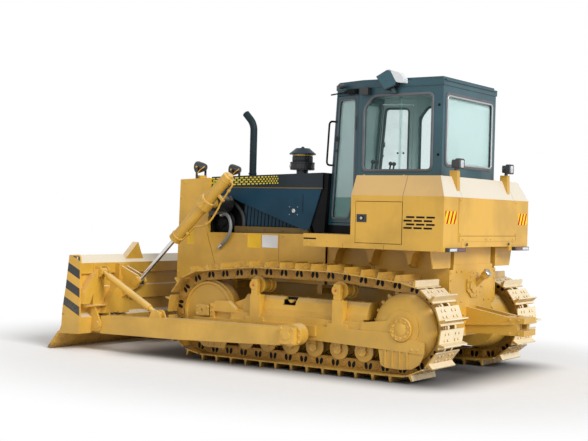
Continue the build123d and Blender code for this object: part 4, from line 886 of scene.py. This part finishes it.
# %% [markdown]
# ## The driver's seat
# A seat cushion is foam in a sewn cover: full in the middle, drawn in between its corners, with a
# piped seam round its edge and a few sewn channels. Its rings are rounded squares that grow from
# the middle of the underside, turn over the edge and shrink again to the middle of the top.

# %% Seat
def squared():
    """The u and v of 64 points on |u|^4 + |v|^4 = 1, with its sides pulled in by 4% between the corners."""
    t = np.linspace(0, 2 * np.pi, 64, endpoint=False)
    pull = 1 - 0.04 * np.cos(2 * t) ** 2
    return [np.sign(w) * np.abs(w) ** 0.5 * pull for w in (np.cos(t), np.sin(t))]


def laid(middle, half, facing, u, v, height):
    """Points at shares of a cushion's half sizes: u across, v along and height the way it faces."""
    ways = np.array([LEFT, np.cross(facing, LEFT), facing], float) * np.array(half)[:, None]
    return np.array(middle) + u[..., None] * ways[0] + v[..., None] * ways[1] + height[..., None] * ways[2]


def cushion(middle, half, facing):
    """A padded block: rows of (size, height) carry the squared ring from the underside over the edge, and
    each channel is a groove exp(-(d / 0.04)^2)."""
    rows = np.array([(0.02, -0.96), (0.55, -0.96), (0.9, -0.94), (0.975, -0.8), (0.99, -0.3), (1, 0.05),
                     (0.995, 0.22), (0.975, 0.26), (0.985, 0.34), (0.955, 0.52), (0.9, 0.66), (0.8, 0.78),
                     (0.66, 0.87), (0.5, 0.93), (0.34, 0.965), (0.18, 0.985), (0.02, 0.99)])
    u, v = (rows[:, :1] * w for w in squared())
    height, groove = rows[:, 1:], sum(np.exp(-((u - c) / 0.04) ** 2) for c in (-0.5, 0.5))
    height = height - 0.26 * groove * (height > 0.3) * np.clip((1 - np.abs(v)) * 6, 0, 1)
    return skin(laid(middle, half, facing, u, v, height))


seams = []
for name, middle, half, facing, replaced in (
        ("seat_cushion", (-1.47, 0, 2.04), (0.255, 0.215, 0.07), UP, ("seat",)),
        ("seat_back", (-1.6925, 0, 2.345), (0.24, 0.24, 0.048), (1, 0, 0), ())):
    made = piece(name, [cushion(middle, half, facing)], "seat_vinyl", sharp=60, instead=replaced)
    u, v = (0.985 * w for w in squared())
    seams.append(seal(laid(middle, half, facing, u, v, 0 * u + 0.26), facing, 0.009, 0.006))
piece("seat_piping", seams, "black_plastic", slot="seat_vinyl")
folds = []
for k in range(11):
    dip, z = k % 2 * 0.012, 1.64 + 0.028 * k
    folds.append(slab((-1.64 + dip, -1.3 - dip), (-0.18 + dip, 0.18 - dip), (z, z + 0.028)))
folds += [slab((-1.64, -1.3), (-0.18, 0.18), (1.571, 1.64)),
          slab((-1.66, -1.28), (-0.2, 0.2), (1.948, 1.966))]
piece("seat_pedestal", folds, "black_plastic", bevel=0.004)
rails = [slab(x, (y, y + 0.03), z)
         for x, z in (((-1.755, -1.742), (2.02, 2.5)), ((-1.755, -1.6), (1.95, 1.962)))
         for y in (-0.12, 0.09)]
piece("seat_rails", rails, "black_paint", bevel=0.003)

# %% [markdown]
# ## Lines and fittings of the lift cylinders
# A steel pipe runs beside each barrel, from the port at its head, out round the yoke and down to
# the port at its foot. Its points are given along the barrel's axis and off to its rear side, so
# they hold for both cylinders. Everything here rides on the barrels, which swing with the blade.

# %% Barrel fittings
pivot, aim = np.array((0.907, 0.95, 1.784)), np.array((0.724508, 0, -0.689266))
behind = np.array((aim[2], 0, -aim[0]))


def on_barrel(points):
    """Points given as (along the barrel from its pivot, off to its rear side, outward), in metres."""
    along, off, out = np.array(points, float).T[..., None]
    return pivot + along * aim + off * behind + out * np.array(LEFT)


def by_pipe(*point):
    """One point beside the barrel, (along, off)."""
    return on_barrel([(*point, 0)])[0]


pipe = [(-0.432, 0.06), (-0.432, 0.092), (-0.405, 0.113), (-0.3, 0.128), (-0.15, 0.15), (-0.08, 0.172),
        (0.06, 0.196), (0.14, 0.192), (0.22, 0.16), (0.32, 0.096), (0.42, 0.084), (0.53, 0.084),
        (0.56, 0.07)]
fittings = [tube([by_pipe(*point) for point in pipe], 0.0115, 12)]
fittings += [turned([(0, 0.024), (0.018, 0.024), (0.02, 0.02), (0.034, 0.02)], by_pipe(*port), behind, 6)
             for port in ((-0.432, 0.056), (0.56, 0.05))]
fittings += [turned([(-0.016, 0.019), (0.016, 0.019)], by_pipe(*p), by_pipe(*q) - by_pipe(*p), 6)
             for p, q in (((-0.34, 0.122), (-0.15, 0.15)), ((0.16, 0.186), (0.22, 0.16)))]
for along, far in ((-0.2, 0.16), (0.44, 0.104)):
    strap = [(*c, -0.02) for c in corners((along - 0.014, along + 0.014), (0.05, far))]
    fittings.append(plate(on_barrel(strap), (0, 0.04, 0)))
collars = ([(-0.478, 0.04), (-0.458, 0.046), (-0.449, 0.06)],
           [(-0.4, 0.0685), (-0.396, 0.0705), (-0.386, 0.0705), (-0.382, 0.0685)],
           [(0.558, 0.0765), (0.562, 0.079), (0.578, 0.079), (0.582, 0.0765)])
fittings += [turned(rows, pivot, aim, 28) for rows in collars]
cos, sin = circle(8)
gland = pivot + 0.633 * aim + 0.056 * (cos * behind + sin * np.array(LEFT))
fittings += bolts(gland, 0.009, 0.009, aim, washer=False)
fittings += bolts(on_barrel([(along, off, 0.0955) for along in (-0.044, 0.044) for off in (-0.02, 0.03)]),
                  0.012)
fittings += [plate(on_barrel([(*c, 0.08) for c in corners((-0.062, 0.062), (-0.04, 0.05))]), (0, 0.0155, 0)),
             turned([(0, 0.01), (0.012, 0.01), (0.02, 0.006)], by_pipe(0, -0.1), -behind, 6)]
pair("barrel_lines", fittings, "machine_yellow", "barrel", bevel=0.0015)
pair("rod_wiper", [turned([(0.6335, 0.044), (0.646, 0.042), (0.65, 0.03)], pivot, aim, 28)], "rubber",
     "barrel")

# %% [markdown]
# ## The engine bay
# The side panel stops in a long diagonal. Behind the opening are dark upright louvres over a
# beam, a pulley, and hoses whose both ends are clamped, with a black sheet behind them as painted shade.
# Beside the radiator black baffles close the gap to the nose as painted shade, so no daylight shows through
# it.

# %% Engine bay
louvre = [(0, 0.455, 1.53), (0.03, 0.47, 1.53), (0.012, 0.47, 1.83), (-0.018, 0.455, 1.83)]
louvres = [plate(np.array(louvre) + (x, 0, 0), (0, 0.004, 0)) for x in np.arange(-0.2, 0.72, 0.052)]
piece("engine_louvres", both(louvres), "panel_paint")
# Painted shade: a black sheet behind the louvres darkens the engine bay.
piece("engine_shade_screen", both([slab((-0.24, 0.93), (0.44, 0.448), (1, 1.9))]), "black_paint")
beam = [slab((-0.24, 0.8), (0.45, 0.535), (1.452, 1.525))]
beam += bolts([(x, 0.535, 1.49) for x in (-0.15, 0.1, 0.35, 0.6)], 0.01, 0.008)
piece("engine_beam", both(beam), "frame_brown", bevel=0.004)
# Painted shade: black plates close the gap beside the radiator.
shade_baffles = [slab((1.136, 1.3), (0.534, 0.546), (0.9, 2.02)),
           slab((1.122, 1.136), (0.425, 0.548), (0.885, 2.03)),
           slab((0.9, 1.122), (0.432, 0.44), (0.885, 1.98))]
shade_baffles = both(shade_baffles) + [slab((1.122, 1.136), (-0.43, 0.43), (2.002, 2.04))]
piece("radiator_shade_baffles", shade_baffles, "black_paint", bevel=0.002)
pulley = [(0, 0.06), (0.004, 0.15), (0.012, 0.158), (0.02, 0.15), (0.03, 0.158), (0.04, 0.15), (0.046, 0.14),
          (0.044, 0.06), (0.07, 0.052), (0.074, 0.03)]
piece("fan_pulley", [turned(pulley, (1.005, 0.452, 1.56), sides=36)], "black_paint")
water = [(0.985, 0.47, 1.85), (0.9, 0.49, 1.83), (0.79, 0.5, 1.765), (0.71, 0.505, 1.67),
         (0.685, 0.505, 1.57), (0.7, 0.5, 1.475), (0.74, 0.49, 1.4)]
piece("water_hose", [tube(water, 0.023, 14)], "rubber")
oil = np.array([(0.975, 0.56, 1.652), (0.905, 0.59, 1.664), (0.835, 0.622, 1.64), (0.785, 0.64, 1.578),
                (0.772, 0.645, 1.5), (0.795, 0.645, 1.42), (0.85, 0.64, 1.345), (0.915, 0.632, 1.292)])
pair("oil_hose", [tube(oil, 0.0195, 14)], "steel_grey")
ends = [turned([(-0.012, 0.024), (0.03, 0.024), (0.032, 0.018), (0.05, 0.018)], oil[-1],
               oil[-1] - oil[-2], 14),
        turned([(0, 0.03), (0.028, 0.03), (0.032, 0.024)], (0.945, 0.6002, 1.268), sides=6),
        turned([(-0.02, 0.024), (0.03, 0.024)], oil[0], oil[1] - oil[0], 14)]
piece("hose_ends", both(ends), "steel_bright", bevel=0.001)

# %% [markdown]
# ## Panels, plates and seams
# Thin dark strips stand for the gaps between sheets, and small plates for labels. The dark slabs set
# into the side boxes' vents are painted shade. The labels are left blank: a raised border round a
# plain field. A round latch with four screws and an upright slit finish the engine's side panel.

# %% Panel details
plate_y, panel_y, box_y, tank_x = 0.6, 0.55, 1.05, -2.226
tank_rear, seam_x = (-2.2268, -2.2255), (-1.7505, -1.7475)
gaps = [slab((0.103, 0.106), (0.5995, 0.6006), (1.12, 1.448)),
        slab((-0.183, -0.175), (0.549, 0.5508), (1.7, 1.909)),
        slab((-0.7, -0.54), (1.049, 1.0508), (1.417, 1.433)), slab(seam_x, (1.0494, 1.0504), (1.392, 1.8975)),
        plate([(x, *end) for end, xs in (((box_y, 1.8972), seam_x), ((0.9502, 2.1102), seam_x[::-1]))
               for x in xs], (0, 0.0004, 0.0004)), slab(tank_rear, (0.701, 0.705), (1.443, 1.5))]
# Painted shade: a dark slab a little inside each vent.
for row, z in enumerate((1.56, 1.597, 1.634, 1.671)):
    for k in range(4):
        x = -1.763 - 0.116 * k - row % 2 * 0.029
        if x - 0.098 > -2.2:
            gaps.append(slab((x - 0.0978, x - 0.0002), (1.04, 1.0475), (z + 0.0002, z + 0.0198)))
piece("panel_gaps_and_shade", both(gaps) + [slab(tank_rear, (-0.705, 0.705), (1.498, 1.502))], "black_paint")
# Painted shadow: a brown strip under the hood's band, with its bolts.
shadow_strip = both([slab((-0.435, 1.11), (0.5395, 0.5525), (1.974, 1.986))])
shadow_strip += bolts([(x, 0.5525, 1.98) for x in (-0.3, 0.1, 0.5, 0.9)], 0.006, 0.004)
piece("hood_shadow_strip", shadow_strip, "frame_brown")
latch_x, latch_z = -0.053, 1.72
latch = [turned([(0, 0.024), (0.004, 0.024), (0.007, 0.018), (0.007, 0.01), (0.004, 0.008)],
                (latch_x, panel_y, latch_z))]
latch += bolts([(latch_x + dx, panel_y, latch_z + dz) for dx in (-0.056, 0.056) for dz in (-0.044, 0.044)],
               0.006, 0.004, washer=False)
piece("panel_latches", both(latch), "steel_bright")


def blank_plate(x, z, y=plate_y + 0.0002):
    """A blank label: a field in a raised border, as four loops from its back to its middle."""
    rows = ((0, 0), (0, 0.0018), (0.006, 0.0018), (0.008, 0.001))
    edges = [(rounded((x[0] + inset, x[1] - inset), (z[0] + inset, z[1] - inset), 0.008), y + out)
             for inset, out in rows]
    return skin(np.stack([sidewise(*edge) for edge in edges]))


labels = [blank_plate((0.367, 0.552), (1.28, 1.434)), blank_plate((1.365, 1.461), (1.29, 1.452))]
piece("yellow_labels", both(labels), "yellow_label")
piece("white_labels", both([blank_plate((0.122, 0.341), (1.288, 1.432))]), "white_label")
piece("rear_hatching", both([slab((-2.2228, -2.2202), (0.773, 1.014), (1.624, 1.752))]), "hatch_paint")
lock = [slab((-1.325, -1.205), (box_y, 1.0545), (1.617, 1.699))]
ring = [turned([(0, 0.026), (0.004, 0.026), (0.006, 0.022)], (-1.265, 1.0545, 1.658))]
key = [(0, 0.016), (0.004, 0.016), (0.007, 0.012), (0.007, 0.004), (0.004, 0.003)]
piece("door_lock_plate", lock, "black_plastic", "box_door", bevel=0.003)
piece("door_lock_ring", ring, "black_paint", "box_door", slot="black_plastic")
piece("door_lock_key", [turned(key, (-1.265, 1.0605, 1.658), sides=20)], "steel_bright", "box_door")

# %% [markdown]
# ## Bolts and small fittings of the body
# The tank's panel, the deck, the nose and the side plates are bolted on. Their centres are typed
# out in rows, one row for each face, and one call turns them into bolt heads.

# %% Body bolts
on_tank = [(y, z) for y in (0.69, -0.69) for z in (1.868, 1.52)]
on_tank += [(y, 1.464) for y in (0.07, -0.055, 0.62, -0.62)]
tank_bolts = bolts([(tank_x, y, z) for y, z in on_tank], 0.009, 0.008, BACK)
on_nose = ((1.205, 1.98), (1.205, 1.7), (1.52, 2.03), (1.1, 1.02), (1.35, 0.92))
on_plate = ((0.98, 1.4), (0.6, 1.42), (0.05, 1.43), (-0.4, 1.43), (1, 0.95), (0.5, 0.94), (-0.4, 0.94))
deck_z = 2.11
sides = bolts([(x, y, deck_z) for x in (-1.2, -1.68) for y in (0.7, 0.92)], 0.009, 0.008, UP)
sides += bolts([(1.6 - (z - 0.879) * 0.02, plate_y, z) for z in (0.95, 1.25, 1.55, 1.85)], 0.012)
sides += bolts([(x, plate_y, z) for x, z in on_nose + on_plate], 0.01, 0.008)
sides += bolts([(x, box_y, 1.404) for x in (-0.6, -0.85, -1.08)], 0.008, 0.006)
sides += bolts([(x, box_y, 1.352) for x in (-0.6, -1, -1.4, -1.8, -2.14)], 0.007, 0.006)
piece("body_bolts", tank_bolts + both(sides), "machine_yellow")
plugs = [turned([(0, 0.016), (0.006, 0.016), (0.008, 0.01)], (-2.2335, y, 1.412), BACK, 16)
         for y in (0.537, -0.502)]
piece("tank_plugs", plugs, "black_plastic")

# %% [markdown]
# ## The air cleaner and the stack's mouth
# The precleaner's body is ribbed like a cupcake case: its radius is 120.5 mm plus 2.5 mm times the
# sign of cos 30t, so it steps in and out thirty times round. A gold band closes it under the hat.

# %% Precleaner
cleaner = np.array((0.215, 0))
t = np.linspace(0, 2 * np.pi, 240, endpoint=False)
ribbed = 0.1205 + 0.0025 * np.sign(np.cos(30 * t))
ribs = [np.stack([cleaner[0] + (ribbed - inset) * np.cos(t), (ribbed - inset) * np.sin(t), 0 * t + z], -1)
        for inset, z in ((0.002, 2.306), (0, 2.309), (0, 2.366), (0.002, 2.369))]
bowl = [turned([(0, 0.1465), (0.004, 0.1485), (0.01, 0.1485), (0.014, 0.1465)], (*cleaner, z), UP, 48)
        for z in (2.222, 2.284)]
piece("precleaner_ribs", [skin(np.stack(ribs))] + bowl, "cleaner_paint")
band = [(0, 0.119), (0.002, 0.1235), (0.011, 0.1235), (0.013, 0.119)]
piece("precleaner_band", [turned(band, (*cleaner, 2.377), UP, 48)], "gold_band")
buckle = [(cleaner[0] + 0.6 * 0.146 + u * 0.8, 0.8 * 0.146 - u * 0.6, 2.252 + v)
          for u, v in corners((-0.022, 0.022), (-0.016, 0.016))]
piece("precleaner_latch", [plate(buckle, (0.006, 0.008, 0))], "steel_bright", bevel=0.002)
knob = [(0, 0.024), (0.006, 0.024), (0.01, 0.018), (0.02, 0.014)]
piece("precleaner_knob", [turned(knob, (*cleaner, 2.4685), UP, 20)], "cleaner_paint")
mouth = turned([(-0.001, 0.0385), (0.001, 0.0385)], (1.078, 0, 2.908), (0.128, 0, 0.133), 32)
piece("stack_mouth", [mouth], "soot")
clamp = [turned([(0, 0.0445), (0.002, 0.048), (0.028, 0.048), (0.03, 0.0445)], (0.95, 0, 2.15), UP, 32),
         turned([(-0.022, 0.006), (0.022, 0.006)], (0.95, 0.056, 2.165), (1, 0, 0), 8)]
piece("stack_clamp", clamp, "stack_paint")

# %% [markdown]
# ## Flares, notches and covers
# Under the deck the skirt is stiffened by flares. Seen from the side a flare is narrow below and
# opens like a horn: its half width is 14 mm plus 112 mm times the cube of the height share.
# The covers over the track rollers have a notch lined in black as painted shade, with hangers in it, and
# raised edges.

# %% Flares
s = np.linspace(0, 1, 14)
half, out, height = 0.014 + 0.112 * s ** 3, np.minimum(0.161, 0.088 + 0.46 * s), 1.15 + 0.2195 * s
section = ((-half, 0 * s), (half, 0 * s), (half, out), (-half, out))
horns = [skin(np.stack([np.stack([x + a, 0.5612 + b, height], -1) for a, b in section], 1))
         for x in (-0.72, -1.18, -1.66)]
piece("skirt_flares", both(horns), "machine_yellow", sharp=50)
notch_x, notch_y = (-0.4615, -0.2995), (0.9645, 1.04)
# Painted shade: the notch's walls and floor are black; the thin strips after them are seams.
notch = [slab(notch_x, (0.9605, 0.9645), (0.6905, 0.7745)), slab(notch_x, (0.9645, 1.062), (0.6905, 0.6935)),
         slab((-0.4615, -0.4575), notch_y, (0.6935, 0.746)),
         slab((-0.3035, -0.2995), notch_y, (0.6935, 0.746))]
notch += [slab((x - 0.003, x), (1.0495, 1.0508), (1.345, 1.384)) for x in (-1.035, -1.535)]
notch += [slab((-1.152, -1.148), (0.5605, 0.5626), (0.91, 1.15))]
piece("cover_notch_shade_and_seams", both(notch), "black_paint")
hanger = [(-0.425, 0.746), (-0.336, 0.746), (-0.366, 0.716), (-0.38, 0.708), (-0.395, 0.716)]
hangers = [plate(sidewise(hanger, y), (0, 0.006, 0)) for y in (1.02, 0.985)]
piece("cover_hangers", both(hangers), "machine_yellow", bevel=0.001)
edges = bolts([(x, 0.945, 0.775) for x in (-0.55, -0.2, -0.9, -1.25)], 0.012, axis=UP)
for x in (-0.086, -0.72):
    slope = [(x, 1, 0.777), (x + 0.006, 1, 0.777), (x + 0.006, 1.045, 0.737), (x, 1.045, 0.737)]
    edges += [slab((x, x + 0.006), (0.8105, 1), (0.7745, 0.7775)), plate(slope, (0, 0.002, 0.002))]
piece("cover_edges", both(edges), "machine_yellow", bevel=0.001)
dots = [(x, 1.144, cap_z) for x in carrier_xs] + [(x + 0.03, 1.09, 0.292) for x in roller_xs[:3]]
dots = [turned([(0, 0.0125), (0.0015, 0.0125), (0.0025, 0.008)], dot, sides=16) for dot in dots]
piece("grease_caps", both(dots), "signal_red")
bolster = [(-0.66, 0.3), (-0.755, 0.315), (-0.788, 0.365), (-0.788, 0.455), (-0.755, 0.505), (-0.66, 0.52)]
bolster = [plate(sidewise(softened(bolster, 0.02), 1.404), (0, 0.021, 0))]
bolster += bolts([(-0.762, 1.425, z) for z in (0.345, 0.41, 0.475)], 0.013, 0.011)
piece("arm_bolster", both(bolster), "machine_yellow", body="blade_frame", bevel=0.002)

# %% [markdown]
# ## Rear case and drawbar
# The steering case is closed by a bolted cover, with an oil filler above it. The drawbar's pin
# hangs in its two plates by its head. The last row of bolts is the blade's, along its cutting edge.

# %% Rear fittings
rear_bolts = []
for x, half_y, half_z, count, first in ((-2.073, 0.176, 0.126, 12, 0.26), (-2.085, 0.118, 0.074, 6, 0.39)):
    cos, sin = circle(count, first)
    rear_bolts += bolts(endwise(np.hstack([half_y * cos - 0.02, half_z * sin + 0.976]), x), 0.01, 0.008, BACK)
for ys, zs, size in (((-0.53, 0.53), (0.81, 0.92, 1.03, 1.11), 0.012),
                     ((-0.4, -0.28, 0.28, 0.4), (0.8, 1.12), 0.012),
                     ((-0.32, -0.22, 0.22, 0.32), (0.52, 0.66), 0.016)):
    rear_bolts += bolts([(-2.055, y, z) for y in ys for z in zs], size, size - 0.002, BACK)
rear_bolts += both(bolts([(x, 0.15, z) for x in (-2.66, -2.56) for z in (0.635, 0.491)], 0.013, 0.011))
piece("rear_bolts", rear_bolts, "machine_yellow")
filler = [(-0.002, 0.04), (0.002, 0.049), (0.016, 0.049), (0.021, 0.044), (0.023, 0.02)]
piece("filler_cap", [turned(filler, (-2.205, -0.031, 1.101), (-0.038, 0, 0.036), 28)], "steel_bright")
hitch = [(-0.19, 0.0195), (-0.185, 0.0215), (0, 0.0215), (0.0005, 0.036), (0.014, 0.036), (0.018, 0.03)]
piece("drawbar_pin", [turned(hitch, (-2.61, 0, 0.6583), UP, 28)], "machine_yellow", slot="track_steel")
stud, edge_out = [(-0.002, 0.019), (0.003, 0.019), (0.006, 0.015)], (0.7605, 0, 0.649)
studs = [turned(stud, (2.638, -1.55 + 0.155 * k, 0.1205), edge_out, 16) for k in range(21)]
piece("edge_bolts", studs, "track_steel", body="blade_frame")

# %% [markdown]
# ## Rings of the rollers
# Each roller shows a flange and a shaft cap, as a low ring on its end.

# %% Roller rings
flange = [(0, 0.047), (0.004, 0.047), (0.006, 0.043), (0.006, 0.034), (0.002, 0.032)]
collar = [(0, 0.05), (0.004, 0.05), (0.006, 0.046), (0.006, 0.036), (0.001, 0.034)]
rings = [turned(flange, (x, 1.0895, 0.262)) for x in roller_xs]
rings += [turned(collar, (x, 1.1375, cap_z), sides=28) for x in carrier_xs]
piece("roller_rings", both(rings), "machine_yellow")
print("fittings done")

# %% [markdown]
# ## Studio
# The floor is a pale sheet that fades into white far from the machine. Near it the floor is
# plain diffuse, so it keeps the soft shadow, and under the machine a painted shadow darkens it. Three broad
# suns from the rear and the left and an even sky light the machine at a plain level.

# %% Floor and light
def seen_rays(tree):
    """Signals that are 1 for rays from the eye, off a mirror and through glass."""
    rays = tree.nodes.new("ShaderNodeLightPath")
    return [Signal(rays.outputs[name]) for name in ("Is Camera Ray", "Is Glossy Ray", "Is Transmission Ray")]


reach = 40.0
floor_mesh = bpy.data.meshes.new("studio_floor")
square = corners((-reach, reach), (-reach, reach))
floor_mesh.from_pydata([(x, y, -0.001) for x, y in square], [], [(0, 1, 2, 3)])
floor = put("studio_floor", floor_mesh)
shader, ground = new_finish("pale_floor")
x, y, _ = axes(ground)
# Painted shadow: the floor's colour darkens under and round the machine.
beyond_x, beyond_y = ((abs(x + 0.25) - 1.75).maths("MAXIMUM", 0.0), (abs(y) - 1.0).maths("MAXIMUM", 0.0))
under = 1 - (beyond_x * beyond_x + beyond_y * beyond_y).maths("SQRT").ramp(0.0, 0.8)
sheet = noise(ground, 6, 2).mix((0.9, 0.9, 0.9), (0.93, 0.93, 0.93))
dress(shader, Base_Color=(under * 0.85).mix(sheet, (0.03, 0.03, 0.032)), Roughness=0.9,
      Specular_IOR_Level=0.1)
away = ((x / 4.6) * (x / 4.6) + (y / 3.6) * (y / 3.6)).ramp(0.55, 1.6)
eye, mirror, through_glass = seen_rays(ground.tree)
shown = (eye + mirror + through_glass).maths("MINIMUM", 1.0)
white = ground.node("ShaderNodeEmission", {}, {"Color": (1, 1, 1, 1), "Strength": 1.0})
faded = ground.node("ShaderNodeMixShader", {}, {0: away * shown, 1: Signal(shader.outputs[0]), 2: white})
ground.tree.links.new(faded.socket, ground.tree.nodes["Material Output"].inputs["Surface"])
floor_mesh.materials.append(finishes["pale_floor"])

world = bpy.data.worlds.new("studio_sky")
bpy.context.scene.world = world
world.use_nodes = True
backdrop = world.node_tree.nodes["Background"]
eye, mirror, through_glass = seen_rays(world.node_tree)
shown = (eye + mirror * 0.6 + through_glass).maths("MINIMUM", 1.0)
world.node_tree.links.new((shown * 0.5 + 0.5).socket, backdrop.inputs["Strength"])
backdrop.inputs["Color"].default_value = (1, 1, 1, 1)


def sun(name, towards, strength, spread):
    """A far lamp shining along a direction; spread is how wide it looks, in degrees."""
    light = bpy.data.lights.new(name, "SUN")
    light.energy, light.angle = strength, math.radians(spread)
    back = -unit(np.array(towards, float))
    side = unit(np.cross(UP, back))
    put(name, light).matrix_world = stood([side, np.cross(back, side), back])


sun("key_light", (0.95, -0.3, -0.58), 2.4, 25)
sun("fill_light", (0.05, -0.92, -0.2), 0.52, 60)
sun("rear_fill", (0.9, -0.4, -0.08), 0.5, 60)
print("studio ready")
